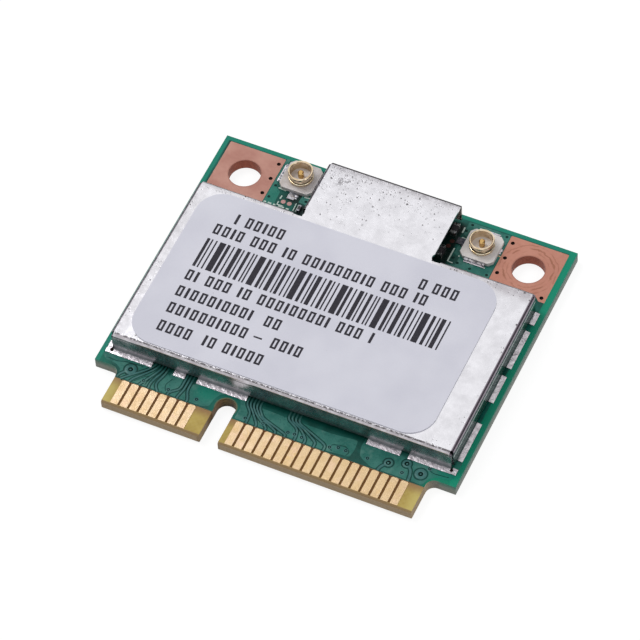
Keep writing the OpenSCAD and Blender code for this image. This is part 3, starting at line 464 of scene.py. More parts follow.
def tin_material():
    graph = Graph("tinned_steel", rgb(226, 225, 230), 1.0, 0.16, 0.5)
    tone = graph.mottle(0.9, rgb(219, 218, 223), rgb(231, 230, 235))
    top = graph.rise(graph.z, CAN_HIGH.z - 0.12, CAN_HIGH.z - 0.02)
    bends = graph.rise(graph.z, CAN_HIGH.z - BEND - 0.28, CAN_HIGH.z - BEND - 0.2)
    left_gap = graph.less(graph.x, CAN_LOW.x)
    right_gap = graph.less(CAN_HIGH.x, graph.x)
    front_gap = graph.less(graph.y, CAN_LOW.y)
    rim_gap = graph.least(left_gap, right_gap, front_gap)
    rim = graph.fall(rim_gap, 0.25, 1.5)
    on_tab = graph.rise(graph.y, TAB_ROOT, TAB_ROOT + 0.3)
    tab_side = graph.between(graph.x, TAB_LEFT, -TAB_LEFT, 0.15)
    off_tab = graph.less(1.0, graph.most(on_tab, tab_side))

    # Pits and specks of dirt, densest on the tab's back and left
    back_rim = graph.times(graph.band(graph.y, TAB_ROOT - 0.3, 0.3, 0.5), off_tab)
    tab_left = graph.smooth(graph.x, -5.6, 4.5, 1.0, 0.35)
    tab_back = graph.smooth(graph.y, 8.0, 12.6, 0.2, 1.0)
    tab = graph.times(tab_left, tab_back, on_tab)
    density = graph.most(graph.times(rim, 0.12), graph.times(tab, 0.72), graph.times(back_rim, 0.3))
    density = graph.times(graph.plus(density, 0.02), graph.clouds(1.1, 2.0, 0.5, 0.35, 0.62, 0.2, 1.5))
    dirt = None
    for scale, low, high, amount in ((1.3, 0.06, 0.15, 1.0), (3.1, 0.1, 0.27, 0.9),
                                     (6.5, 0.15, 0.38, 0.75)):
        place = graph.stretch(1.0, 0.75, 1.0)
        lot = graph.cells(scale, place, output="Color", flat=True)
        chance = graph.feed(graph.add("SeparateColor"), {0: lot}).outputs
        kept = graph.rise(graph.less(density, chance[0]), 0.0, 0.06)
        strong = graph.smooth(chance[1], 0.2, 1.0, 0.15, 1.0)
        away = graph.cells(scale, place, flat=True)
        pit = graph.times(kept, strong, graph.fall(away, low, high, amount))
        dirt = pit if dirt is None else graph.most(dirt, pit)
    smudge = graph.clouds(1.5, 4.0, 0.7, 0.55, 0.72, at=graph.shift(4.0, 1.0, 0.0))
    smudge = graph.times(smudge, graph.plus(graph.times(tab, 0.5), 0.05))
    dirt = graph.most(dirt, smudge)
    rubbed = graph.clouds(2.4, 4.0, 0.75, 0.48, 0.62, at=graph.stretch(1.3, 0.8, 1.0))
    corner = graph.near(TAB_CORNER, 0.2, 1.5, 0.75)
    dirt = graph.most(dirt, graph.times(rubbed, corner))

    # Painted shade and dark reflections along the bends and the tab's left edge, frayed unevenly
    frayed = graph.clouds(4.5, 4.0, 0.75, 0.36, 0.56, 0.35, 1.0)
    back_line = graph.rise(graph.y, CAN_HIGH.y - 0.8, CAN_HIGH.y - 0.15, 0.75)
    back_line = graph.times(back_line, graph.clouds(3.4, 4.0, 0.75, 0.36, 0.58))
    rim_line = graph.times(graph.rise(graph.y, TAB_ROOT - 0.17, TAB_ROOT - 0.1), off_tab, 0.8)
    lines = graph.times(graph.most(back_line, rim_line), frayed)
    steady = graph.clouds(4.5, 4.0, 0.75, 0.3, 0.5, 0.85, 1.0, at=graph.shift(5.0, 2.0, 0.0))
    front_line = graph.times(graph.band(graph.y, CAN_LOW.y + 0.2, 0.06, 0.04), frayed)
    under_bend = graph.times(graph.band(graph.z, CAN_HIGH.z - 0.4, 0.03, 0.05),
                             graph.fall(front_gap, 0.03, 0.06, 0.6))
    end_line = graph.times(graph.rise(graph.y, CAN_HIGH.y - 0.3, CAN_HIGH.y - 0.2), steady)
    lines = graph.most(lines, front_line, under_bend, end_line)
    left_bend = graph.fall(left_gap, 0.2, 0.28, 0.9)
    tab_edge = graph.times(graph.fall(graph.x, TAB_LEFT + 0.2, TAB_LEFT + 0.25, 0.95), on_tab)
    uneven = graph.clouds(3.0, 3.0, 0.6, 0.3, 0.6, 0.8, 1.0)
    shaded = graph.times(graph.most(left_bend, tab_edge), bends, uneven)
    right_bend = graph.fall(right_gap, 0.2, 0.26, 0.9)
    right_bend = graph.times(right_bend, graph.rise(graph.z, CAN_HIGH.z - 0.62, CAN_HIGH.z - 0.54))

    # Painted shade in grey patches near the rims, and dull walls near the board with painted reflection and
    # shade
    behind_label = graph.times(graph.rise(graph.y, 6.3, 7.1, 0.45), off_tab)
    right_back = graph.times(graph.rise(graph.x, 5.5, 8.0), graph.rise(graph.y, 5.6, 6.8, 0.8))
    tab_end = graph.times(graph.rise(graph.y, 11.4, 12.9, 0.45), on_tab)
    grey_shade = graph.most(graph.fall(left_gap, 0.2, 1.4, 0.3), graph.fall(front_gap, 0.12, 0.24))
    grey_shade = graph.most(grey_shade, behind_label, right_back, tab_end)
    patchy = graph.clouds(1.4, 3.0, 0.6, 0.3, 0.6, 0.5, 1.0, at=graph.shift(1.0, 8.0, 0.0))
    tone = graph.mix(graph.times(grey_shade, patchy), tone, rgb(176, 171, 176))
    # Painted reflection and shade near the board: the board's green on the front wall, darker grey on the
    # others
    foot = graph.fall(graph.z, BOARD_TOP + 0.3, BOARD_TOP + 0.75, 0.85)
    in_front = graph.fall(graph.y, CAN_LOW.y + 0.02, CAN_LOW.y + 0.06)
    tone = graph.mix(foot, tone, graph.mix(in_front, rgb(58, 92, 88), rgb(104, 114, 116)))
    # Painted reflection of the green board on the lower right wall
    right_lower = graph.times(graph.fall(right_gap, 0.03, 0.08),
                              graph.fall(graph.z, CAN_HIGH.z - 0.85, CAN_HIGH.z - 0.75, 0.85))
    tone = graph.mix(right_lower, tone, rgb(48, 98, 92))

    scuff = graph.noise(1.0, 4.0, 0.75, graph.stretch(3.0, 7.0, 2.0))
    fine = graph.noise(1.0, 3.0, 0.7, graph.stretch(24.0, 3.0, 2.0))
    scuff = graph.times(graph.rise(scuff, 0.58, 0.72), graph.plus(graph.times(tab, 0.5), 0.12))
    scuff = graph.most(scuff, graph.rise(fine, 0.64, 0.8, 0.35))
    tone = graph.mix(graph.times(scuff, top), tone, rgb(170, 167, 172))
    # Real dirt on the top and painted shade along the bends darken the tin, and also roughen and dent it
    dirt_and_bend_shade = graph.most(graph.times(dirt, top), graph.times(lines, bends))
    tone = graph.mix(graph.times(dirt_and_bend_shade, 0.92), tone, rgb(58, 53, 56))
    tone = graph.mix(shaded, tone, rgb(64, 57, 68))
    # Painted dark reflection on the right bend
    tone = graph.mix(right_bend, tone, rgb(122, 109, 122))
    glint = graph.times(graph.band(graph.z, CAN_HIGH.z - 0.68, 0.05, 0.05),
                        graph.fall(right_gap, 0.03, 0.06, 0.8))
    tone = graph.mix(glint, tone, rgb(228, 230, 234))
    # Painted reflection: dark and pale streaks, less metallic, on the inner face of the tab's back wall near
    # its right end
    inner_end = graph.times(graph.rise(graph.x, 4.5, 4.8), graph.rise(graph.y, 12.2, 12.4))
    inner_end = graph.times(inner_end, graph.fall(graph.z, CAN_HIGH.z - BEND, CAN_HIGH.z - 0.1))
    streaks = graph.clouds(1.0, 3.0, 0.7, 0.42, 0.58, at=graph.stretch(3.0, 3.0, 5.0))
    graph.color(graph.mix(inner_end, tone, graph.mix(streaks, rgb(52, 44, 42), rgb(176, 168, 158))))
    graph.metallic(graph.less(1.0, graph.times(graph.most(inner_end, glint), 0.85)))
    dull = graph.clouds(2.2, 4.0, 0.7, 0.3, 0.7, 0.22, 0.32)
    dull = graph.less(dull, graph.times(bends, 0.06))
    dull = graph.plus(dull, graph.times(foot, 0.22))
    graph.roughness(graph.plus(dull, graph.times(dirt_and_bend_shade, 0.3)))
    grain = graph.times(graph.noise(8.0, 3.0, 0.6), graph.plus(graph.times(top, 0.24), 0.03))
    wave = graph.times(graph.noise(0.4, 1.0, 0.5), 1.2)
    height = graph.less(graph.plus(grain, wave), graph.times(dirt_and_bend_shade, 0.6))
    graph.bump(height, 0.02, 0.6)
    return graph.material


def solder_material():
    graph = Graph("solder", rgb(206, 204, 210), 1.0, 0.3, 0.5)
    tone = graph.mottle(3.0, rgb(186, 179, 185), rgb(218, 213, 218))
    grime = graph.clouds(4.2, 4.0, 0.7, 0.56, 0.68, 0.0, 0.7, at=graph.shift(3.0, 1.0, 4.0))
    tone = graph.mix(grime, tone, rgb(112, 106, 110))
    speck = graph.fall(graph.cells(7.0), 0.05, 0.2, 0.6)
    tone = graph.mix(speck, tone, rgb(90, 86, 90))
    left_tail = graph.near(LEFT_TAIL, 1.1, 1.3, 0.75)
    shaded_foot = graph.near(RIGHT_FOOT, 0.6, 0.75, 0.9)
    tone = graph.mix(left_tail, tone, graph.mix(grime, rgb(150, 150, 156), rgb(70, 70, 76)))
    graph.color(graph.mix(shaded_foot, tone, FOOT_SHADE))
    graph.roughness(graph.clouds(5.0, 3.0, 0.5, 0.3, 0.7, 0.24, 0.4))
    lumps = graph.noise(2.6, 2.0, 0.5, warp=0.3)
    frost = graph.noise(11.0, 3.0, 0.6)
    graph.bump(graph.plus(lumps, graph.times(frost, 0.14)), 0.055, 0.8)
    return graph.material


def label_material():
    graph = Graph("label_paper", rgb(206, 207, 219), 0.0, 0.5, 0.35)
    tone = graph.mix(graph.clouds(0.25, 2.0, 0.5, 0.3, 0.7), rgb(207, 207, 219), rgb(215, 215, 226))
    fibre = graph.noise(1.0, 4.0, 0.7, graph.stretch(7.0, 16.0, 7.0))
    tone = graph.mix(graph.rise(fibre, 0.4, 0.8, 0.14), tone, rgb(232, 232, 240))
    speck = graph.fall(graph.cells(0.42), 0.0, 0.035, 0.5)
    graph.color(graph.mix(speck, tone, rgb(120, 118, 126)))
    graph.roughness(graph.smooth(fibre, 0.3, 0.7, 0.44, 0.58))
    wave = graph.noise(0.22, 2.0, 0.5)
    graph.bump(graph.plus(graph.noise(8.0, 3.0, 0.6), graph.times(wave, 4.0)), 0.008, 0.5)
    return graph.material


def ink_material():
    graph = Graph("label_ink", rgb(48, 46, 54), 0.0, 0.5, 0.15)
    worn = graph.clouds(6.0, 4.0, 0.7, 0.52, 0.74, 0.0, 0.35)
    graph.color(graph.mix(worn, rgb(46, 44, 52), rgb(92, 90, 100)))
    graph.roughness(graph.clouds(9.0, 2.0, 0.5, 0.3, 0.7, 0.42, 0.58))
    graph.bump(graph.noise(14.0, 2.0), 0.004, 0.5)
    return graph.material


def silk_material():
    graph = Graph("silk_marks", rgb(214, 226, 220), 0.0, 0.5, 0.4)
    graph.color(graph.mix(graph.noise(6.0, 3.0), rgb(150, 180, 168), rgb(216, 224, 218)))
    graph.roughness(graph.clouds(8.0, 2.0, 0.5, 0.3, 0.7, 0.42, 0.6))
    graph.bump(graph.noise(12.0, 2.0), 0.006, 0.5)
    return graph.material


# Materials of the receptacles and of the small parts

def insulator_material():
    graph = Graph("insulator", rgb(198, 190, 186), 0.0, 0.46, 0.45)
    tone = graph.mottle(1.2, rgb(190, 182, 178), rgb(212, 207, 208))
    tone = graph.mix(graph.rise(graph.x, 0.0, 2.0, 0.6), tone, rgb(226, 222, 220))
    graph.color(graph.mix(graph.fall(graph.cells(3.0), 0.0, 0.1, 0.3), tone, rgb(140, 128, 120)))
    graph.roughness(graph.clouds(5.0, 3.0, 0.5, 0.3, 0.7, 0.38, 0.54))
    graph.bump(graph.noise(7.0, 3.0, 0.6), 0.02, 0.6)
    return graph.material


def polished_gold_material():
    graph = Graph("receptacle_gold", rgb(220, 198, 150), 1.0, 0.16, 0.5)
    tone = graph.mottle(1.7, rgb(208, 183, 148), rgb(234, 215, 188))
    reach = graph.least(graph.distance(LEFT_AXIS), graph.distance(RIGHT_AXIS))
    tone = graph.mix(graph.fall(reach, 0.4, 0.5, 0.9), tone, rgb(204, 164, 98))
    # Painted shade in a dark band under the ring's lip
    groove_shade = graph.band(graph.z, BOARD_TOP + 0.62, 0.08, 0.08)
    outside = graph.rise(reach, 0.86, 0.9)
    tone = graph.mix(graph.times(groove_shade, outside, 0.9), tone, rgb(84, 66, 36))
    low = graph.fall(graph.z, BOARD_TOP + 0.12, BOARD_TOP + 0.24)
    soldered = graph.most(low, graph.rise(reach, 1.08, 1.14))
    wetted = graph.mix(graph.clouds(5.0, 3.0, 0.6, 0.38, 0.6), rgb(92, 92, 98), rgb(190, 188, 194))
    left_tail = graph.near(LEFT_TAIL, 1.1, 1.3, 0.6)
    wetted = graph.mix(left_tail, wetted, rgb(96, 98, 104))
    shaded_foot = graph.near(RIGHT_FOOT, 0.6, 0.75, 0.9)
    wetted = graph.mix(shaded_foot, wetted, FOOT_SHADE)
    graph.color(graph.mix(soldered, tone, wetted))
    turned = graph.sine(graph.times(graph.z, 90.0))
    smoothness = graph.clouds(4.0, 3.0, 0.5, 0.3, 0.7, 0.1, 0.22)
    graph.roughness(graph.plus(smoothness, graph.times(soldered, 0.2)))
    graph.bump(graph.plus(graph.times(turned, 0.15), graph.noise(4.0, 2.0)), 0.005, 0.4)
    return graph.material


def moulded_material(name, dark, light, roughness, scale=9.0, specular=0.45):
    graph = Graph(name, light, 0.0, roughness, specular)
    grain = graph.noise(scale, 4.0, 0.65)
    cloud = graph.noise(0.8, 2.0, 0.5)
    tone = graph.mix(graph.rise(grain, 0.3, 0.7), dark, light)
    graph.color(graph.mix(graph.rise(cloud, 0.35, 0.7, 0.4), tone, dark))
    graph.roughness(graph.smooth(grain, 0.3, 0.7, roughness - 0.08, roughness + 0.08))
    graph.bump(grain, 0.02, 0.6)
    return graph.material


def plated_material(name, dark, light, roughness, scale=6.0, depth=0.012):
    graph = Graph(name, light, 1.0, roughness, 0.5)
    grain = graph.noise(scale, 3.0, 0.6)
    graph.color(graph.mix(graph.rise(grain, 0.3, 0.7), dark, light))
    graph.roughness(graph.smooth(grain, 0.3, 0.7, roughness - 0.08, roughness + 0.1))
    graph.bump(graph.plus(grain, graph.noise(scale * 3.0, 2.0)), depth, 0.6)
    return graph.material


MASK = board_material()
COVERED = covered_material("mask_over_copper", rgb(30, 99, 89), rgb(60, 121, 111), rgb(6, 120, 101))
TRACK = covered_material("mask_over_tracks", rgb(44, 98, 96), rgb(72, 118, 116))
HOLLOW = dark_mask_material()
GOLD = gold_material()
COPPER = copper_material()
TIN = tin_material()
SOLDER = solder_material()
LABEL = label_material()
INK = ink_material()
SILK = silk_material()
INSULATOR = insulator_material()
POLISHED = polished_gold_material()
MOULD = moulded_material("mould_compound", rgb(26, 26, 28), rgb(44, 44, 47), 0.55)
LEAD = plated_material("lead_tin", rgb(168, 166, 158), rgb(206, 204, 198), 0.34)
CRYSTAL_BASE = moulded_material("crystal_ceramic", rgb(160, 154, 138), rgb(190, 184, 168), 0.6)
CRYSTAL_LID = plated_material("crystal_metal", rgb(188, 182, 160), rgb(214, 210, 192), 0.28, 3.0)
FERRITE = moulded_material("ferrite", rgb(46, 46, 50), rgb(74, 74, 80), 0.62, 6.0)
FILTER = moulded_material("filter_ceramic", rgb(206, 204, 194), rgb(232, 230, 222), 0.42)
CAPACITOR = moulded_material("capacitor_ceramic", rgb(146, 112, 78), rgb(184, 148, 110), 0.5, 7.0)
RESISTOR = moulded_material("resistor_ceramic", rgb(18, 18, 20), rgb(36, 36, 40), 0.3, 7.0)
MATCHING = moulded_material("matching_ceramic", rgb(38, 36, 40), rgb(66, 62, 66), 0.44, 7.0)
WELL = moulded_material("via_wells", rgb(0, 18, 16), rgb(2, 40, 34), 0.5, 7.0, 0.05)
BACK_WELL = moulded_material("back_via_wells", rgb(2, 36, 32), rgb(12, 62, 55), 0.5, 7.0, 0.1)
# Near-black material painted as the shade in small holes
PIT_SHADE = moulded_material("pit_shade", rgb(12, 8, 8), rgb(34, 22, 18), 0.6, 7.0, 0.05)
BEAD = plated_material("bead_gold", rgb(214, 186, 140), rgb(250, 238, 212), 0.16, 2.0, 0.004)
DULL_TIN = plated_material("dull_tin", rgb(92, 92, 100), rgb(150, 150, 158), 0.4)
END_CAP = plated_material("end_cap_tin", rgb(178, 178, 180), rgb(222, 222, 222), 0.32)

FINISH = (
    (MASK, ["board"]),
    (GOLD, ["contacts_top_short", "contacts_top_long", "contacts_bottom_short", "contacts_bottom_long"]),
    (COPPER, ["screw_land_left", "screw_land_right", "test_pads", "bare_pads"]),
    (TIN, ["shield_can"]),
    (SOLDER, ["shield_solder_front", "shield_solder_right", "shield_solder_left", "shield_solder_back"]),
    (SOLDER, ["receptacle_solder"]),
    (LABEL, ["label"]),
    (INSULATOR, ["left_receptacle_insulator", "right_receptacle_insulator"]),
    (POLISHED, ["left_receptacle_shell", "left_receptacle_pin"]),
    (POLISHED, ["right_receptacle_shell", "right_receptacle_pin"]),
    (MOULD, ["radio_chip", "memory_chip", "regulator", "front_end_left", "front_end_right"]),
    (LEAD, ["radio_chip_leads", "memory_chip_leads", "regulator_leads", "inductor_terminals"]),
    (CRYSTAL_BASE, ["crystal_base"]),
    (CRYSTAL_LID, ["crystal_lid"]),
    (FERRITE, ["power_inductor"]),
    (FILTER, ["band_filters"]),
    (CAPACITOR, ["capacitor_bodies", "supply_capacitor_bodies"]),
    (RESISTOR, ["resistor_bodies"]),
    (MATCHING, ["matching_bodies"]),
    (END_CAP, ["capacitor_ends", "resistor_ends", "supply_capacitor_ends", "matching_ends"]),
)
for material, names in FINISH:
    for name in names:
        mesh = nodes[name].data
        if len(mesh.materials) == 0:
            mesh.materials.append(material)
        for index in range(len(mesh.materials)):
            mesh.materials[index] = material


# Mesh helpers, in millimetres

# A form that stands on a face starts this far inside it
SUNK = -0.004


class Form:
    """Vertices and faces gathered for one piece, with heights measured from a base."""

    def __init__(self, base=BOARD_TOP):
        self.base = base
        self.points = []
        self.faces = []

    def add(self, points, faces):
        start = len(self.points)
        self.points += [(x, y, self.base + z) for x, y, z in points]
        self.faces += [[start + index for index in face] for face in faces]

    def plate(self, outline, high, draft=0.0):
        """A flat plate; its upper outline pulls in by draft."""
        count = len(outline)
        middle_x = sum(x for x, y in outline) / count
        middle_y = sum(y for x, y in outline) / count
        upper = []
        for x, y in outline:
            reach = math.hypot(x - middle_x, y - middle_y) or 1.0
            pull = 1.0 - draft / reach
            upper.append((middle_x + (x - middle_x) * pull, middle_y + (y - middle_y) * pull, high))
        lower = [(x, y, SUNK) for x, y in outline]
        sides = [[i, (i + 1) % count, count + (i + 1) % count, count + i] for i in range(count)]
        self.add(lower + upper, sides + [list(range(count, 2 * count)), list(range(count - 1, -1, -1))])

    def frame(self, x, y, width, height, stroke, high):
        """An open rectangle of even stroke, its lower left corner at x, y."""
        rings = []
        for inset, level in ((0.0, SUNK), (0.0, high), (stroke, high), (stroke, SUNK)):
            left, right = x + inset, x + width - inset
            front, back = y + inset, y + height - inset
            rings += [(left, front, level), (right, front, level), (right, back, level), (left, back, level)]
        self.add(rings, ring_faces(4, 4))

    def ribbon(self, path, width, high):
        """A flat track of constant width along a path of points."""
        left, right = [], []
        for index, (x, y) in enumerate(path):
            before = path[max(index - 1, 0)]
            after = path[min(index + 1, len(path) - 1)]
            run_x, run_y = after[0] - before[0], after[1] - before[1]
            length = math.hypot(run_x, run_y) or 1.0
            off_x, off_y = -run_y / length * width / 2, run_x / length * width / 2
            left.append((x + off_x, y + off_y))
            right.append((x - off_x, y - off_y))
        count = len(path)
        points = [(x, y, level) for level in (high, SUNK) for x, y in left + right]
        faces = []
        for i in range(count - 1):
            faces.append([count + i, count + i + 1, i + 1, i])
            faces.append([i, i + 1, 2 * count + i + 1, 2 * count + i])
            faces.append([3 * count + i, 3 * count + i + 1, count + i + 1, count + i])
        faces.append([0, 2 * count, 3 * count, count])
        last = count - 1
        faces.append([count + last, 3 * count + last, 2 * count + last, last])
        self.add(points, faces)

    def lathe(self, x, y, profile, count, closed=True):
        """A turned form round an upright axis; profile runs from the outside to the middle."""
        points = []
        for radius, height in profile:
            for step in range(count):
                angle = 2 * math.pi * step / count
                points.append((x + radius * math.cos(angle), y + radius * math.sin(angle), height))
        faces = ring_faces(len(profile), count)
        if closed:
            faces.append(list(range(len(points) - count, len(points))))
        self.add(points, faces)

    def turn_over(self):
        """Mirrors a form made for the board's top onto its underside, half as thick."""
        self.points = [(x, y, (BOARD_TOP - z) / 2) for x, y, z in self.points]
        self.faces = [face[::-1] for face in self.faces]

    def make(self, name, material, slot=None, smooth=False):
        mesh = bpy.data.meshes.new(name)
        mesh.from_pydata([(x * MM, y * MM, z * MM) for x, y, z in self.points], [], self.faces)
        mesh.validate()
        mesh.materials.append(material)
        piece = bpy.data.objects.new(name, mesh)
        bpy.context.scene.collection.objects.link(piece)
        if smooth:
            mesh.shade_smooth()
        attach(piece, "root")


def ring_faces(rings, count):
    """Faces between neighbours in a stack of rings with count points each."""
    faces = []
    for start in range(0, (rings - 1) * count, count):
        for step in range(count):
            after = (step + 1) % count
            faces.append([start + step, start + after, start + count + after, start + count + step])
    return faces


def rounded(path, radius=0.25, steps=5):
    """The path with its corners rounded."""
    points = [path[0]]
    for index in range(1, len(path) - 1):
        corner = path[index]
        ends = []
        for other in (path[index - 1], path[index + 1]):
            run_x, run_y = other[0] - corner[0], other[1] - corner[1]
            run = math.hypot(run_x, run_y) or 1.0
            reach = min(radius, run * 0.45) / run
            ends.append((corner[0] + run_x * reach, corner[1] + run_y * reach))
        for step in range(steps + 1):
            t = step / steps
            x = (1 - t) ** 2 * ends[0][0] + 2 * t * (1 - t) * corner[0] + t * t * ends[1][0]
            y = (1 - t) ** 2 * ends[0][1] + 2 * t * (1 - t) * corner[1] + t * t * ends[1][1]
            points.append((x, y))
    points.append(path[-1])
    return points


def loop(outline, radius, steps=5):
    """A closed outline with its corners rounded."""
    points = []
    for index in range(len(outline)):
        trio = [outline[index - 1], outline[index], outline[(index + 1) % len(outline)]]
        points += rounded(trio, radius, steps)[1:-1]
    return points


# Tracks and copper areas under the mask, front strip

POUR = 0.006
MOAT = 0.008
OVER = 0.014
TRACK_W = 0.13
MOAT_W = 0.1
HAIR_W = 0.07
TRACK_FRONT = -10.98
TRACK_BACK = -8.3
POUR_FRONT = -10.88
POUR_BACK = -7.9

pours = Form()
for outline in [
    [(-14.62, POUR_BACK), (-14.62, -9.4), (-14.3, -9.74), (-13.25, -9.86), (-12.82, -10.15),
     (-12.62, POUR_FRONT), (-9.0, POUR_FRONT), (-9.0, -9.25), (-10.75, -9.25), (-10.75, POUR_BACK)],
    [(-9.0, POUR_BACK), (-9.0, POUR_FRONT), (-6.2, POUR_FRONT), (-5.45, -10.84), (-5.08, -10.62),
     (-4.98, -9.9), (-4.75, -9.38), (-4.3, -9.12), (-4.0, POUR_BACK), (-6.85, POUR_BACK), (-6.85, -9.3),
     (-7.95, -9.3), (-7.95, POUR_BACK)],
    [(-2.85, POUR_FRONT), (-2.8, -9.9), (-3.1, -9.2), (-3.5, -8.98), (-3.6, POUR_BACK), (-2.75, POUR_BACK),
     (-2.7, -9.22), (0.6, -9.3), (0.6, POUR_FRONT)],
    [(0.6, -9.3), (0.6, POUR_FRONT), (4.6, POUR_FRONT), (6.6, -10.7), (6.72, -9.9), (6.6, -9.1), (4.6, -9.3)],
    [(7.05, POUR_BACK), (7.05, -9.6), (7.3, -10.3), (7.8, -10.6), (8.4, POUR_FRONT), (12.6, POUR_FRONT),
     (12.85, -10.2), (13.3, -9.86), (14.3, -9.74), (14.62, -9.4), (14.62, POUR_BACK)],
]:
    pours.plate(loop(outline, 0.15), POUR)
pours.make("covered_copper_front", COVERED, "solder_mask")

back_pours = Form()
for outline in [
    [(-9.6, 7.3), (-9.6, 13.1), (-9.3, 13.1), (-9.3, 10.3), (-8.75, 9.9), (-8.65, 7.3)],
    [(-7.0, 9.5), (-6.9, 10.6), (-6.3, 10.6), (-6.3, 9.5)],
    [(6.1, 12.95), (9.6, 12.95), (9.6, 7.3), (6.2, 7.3), (6.2, 8.6), (6.7, 8.7), (6.75, 9.5), (6.2, 9.7),
     (6.2, 10.4), (6.5, 11.5), (6.15, 11.7)],
    [(-4.6, 12.95), (-4.6, 13.2), (4.6, 13.2), (4.6, 12.95)],
]:
    back_pours.plate(loop(outline, 0.12), POUR)
back_pours.make("covered_copper_back", COVERED, "solder_mask")

# Tracks: five given point by point, three bundles that step from contact to contact, three to ringed vias
bundles = []
for front, path in [
    (-12.4, [(-12.0, -10.55), (-10.75, -9.35), (-10.42, -8.8), (-10.42, TRACK_BACK)]),
    (-11.65, [(-11.5, -10.6), (-10.55, -9.5), (-10.14, -8.85), (-10.14, TRACK_BACK)]),
    (-10.85, [(-10.7, -10.65), (-10.3, -9.9), (-9.88, -9.0), (-9.88, TRACK_BACK)]),
    (-10.05, [(-10.1, -10.5), (-9.95, -9.9), (-9.62, -9.1), (-9.62, TRACK_BACK)]),
    (-9.25, [(-9.5, -10.72), (-9.7, -10.3), (-9.4, -9.3), (-9.36, TRACK_BACK)]),
]:
    bundles.append((rounded([(front, TRACK_FRONT)] + path, 0.35), TRACK_W))
for order, front in enumerate([-8.45, -7.65, -6.85]):
    end = -7.75 + order * 0.27
    path = [(front, TRACK_FRONT), (front, -10.7), (end, -10.1 + 0.05 * order), (end, TRACK_BACK)]
    bundles.append((rounded(path, 0.3), TRACK_W))
for order, front in enumerate([-1.85, -1.05, -0.25, 0.55, 1.35]):
    end = -2.55 + order * 0.27
    path = [(front, TRACK_FRONT), (front, -10.75), (end + 0.62, -9.95 - order * 0.02)]
    bundles.append((rounded(path + [(end, -9.3), (end, TRACK_BACK)], 0.3), TRACK_W))
for order, front in enumerate([2.15, 2.95, 3.75, 4.55]):
    end = 0.9 + order * 0.29
    path = [(front, TRACK_FRONT), (front, -10.6 + order * 0.05), (end + 1.1, -9.95 + order * 0.06)]
    bundles.append((rounded(path + [(end, -9.35), (end, TRACK_BACK)], 0.35), TRACK_W))
for path, radius, width in [
    ([(9.0, TRACK_FRONT), (9.1, -10.55), (9.52, -10.03)], 0.3, 0.18),
    ([(11.5, TRACK_FRONT), (11.45, -10.45), (11.3, -9.95), (10.83, -9.57)], 0.3, 0.18),
    ([(-12.72, -10.9), (-12.66, -10.6), (-12.1, -9.95)], 0.2, 0.14),
]:
    bundles.append((rounded(path, radius), width))

moats = Form()
for path, width in bundles:
    moats.ribbon(path, width + 2 * MOAT_W, MOAT)
for path, radius in [
    ([(5.15, -10.72), (4.85, -10.45), (5.0, -10.15), (6.0, -9.95), (6.45, -10.3), (6.3, -10.7)], 0.2),
    ([(-11.35, -10.78), (-10.62, -9.95), (-10.3, -10.1), (-10.42, -10.78)], 0.2),
    ([(-14.1, -9.55), (-13.3, -9.62), (-12.75, -9.4), (-11.3, -9.3)], 0.25),
    ([(12.45, -9.4), (13.0, -9.62), (14.2, -9.5)], 0.25),
    ([(-8.7, -10.7), (-9.0, -10.2), (-8.7, -9.5)], 0.3),
]:
    moats.ribbon(rounded(path, radius), HAIR_W, MOAT)

# Centres of the vias, and for ringed ones the ring's outer radius
SMALL_VIAS = [
    (-10.66, -10.47), (-8.57, -10.48), (-6.21, -10.46), (-2.07, -10.57), (-0.64, -10.47), (1.44, -10.48),
    (1.97, -10.45), (2.58, -10.5), (4.87, -10.48), (5.5, -10.26), (6.13, -10.29), (7.91, -10.27),
    (10.8, -10.45), (12.58, -9.33),
]
BACK_VIAS = [
    (-9.35, 10.35), (-9.37, 9.15), (-6.47, 9.79), (6.22, 12.05), (6.44, 12.76), (6.3, 9.3), (6.8, 8.95),
    (7.9, 8.8), (9.35, 8.75), (9.35, 12.72), (9.35, 11.85),
]
RINGED_VIAS = [(-12.04, -9.92, 0.48), (9.52, -10.03, 0.36), (10.83, -9.57, 0.36), (12.14, -10.02, 0.48)]
for x, y, reach in RINGED_VIAS:
    moats.lathe(x, y, [(reach + 0.12, SUNK), (reach + 0.1, MOAT + 0.001), (0.01, MOAT + 0.001)], 36)
moats.make("mask_hollows_front", HOLLOW, "solder_mask")

tracks = Form()
for path, width in bundles:
    tracks.ribbon(path, width, OVER)
tracks.make("covered_tracks_front", TRACK, "solder_mask")

rings = Form()
wells = Form()
back_wells = Form()
for x, y, reach in RINGED_VIAS:
    outside = [(reach, SUNK), (reach - 0.03, OVER + 0.006)]
    rings.lathe(x, y, outside + [(0.21, OVER + 0.006), (0.18, OVER - 0.002)], 36)
    wells.lathe(x, y, [(0.21, SUNK), (0.19, OVER + 0.008), (0.1, OVER), (0.02, OVER - 0.004)], 24)
for x, y in SMALL_VIAS:
    rings.lathe(x, y, [(0.21, SUNK), (0.19, OVER + 0.001), (0.13, OVER + 0.001), (0.11, OVER - 0.002)], 24)
    wells.lathe(x, y, [(0.14, SUNK), (0.12, OVER + 0.006), (0.06, OVER - 0.002), (0.02, OVER - 0.006)], 20)
for x, y in BACK_VIAS:
    outside = [(0.13, SUNK), (0.11, OVER + 0.004)]
    back_wells.lathe(x, y, outside + [(0.06, OVER - 0.002), (0.02, OVER - 0.006)], 20)
rings.make("via_rings", TRACK, "solder_mask", True)
wells.make("via_wells", WELL, "solder_mask", True)
back_wells.make("via_wells_back", BACK_WELL, "solder_mask", True)


# Copper areas, tracks and vias under the mask of the underside

PITCH = 0.8
CONTACT_HALF = 0.3
PAD_PITCH = 3.0
PAD_ROW = 3.5
PAD_CLEAR = 0.75
PAD_EXIT = PAD_ROW + PAD_CLEAR - 0.35

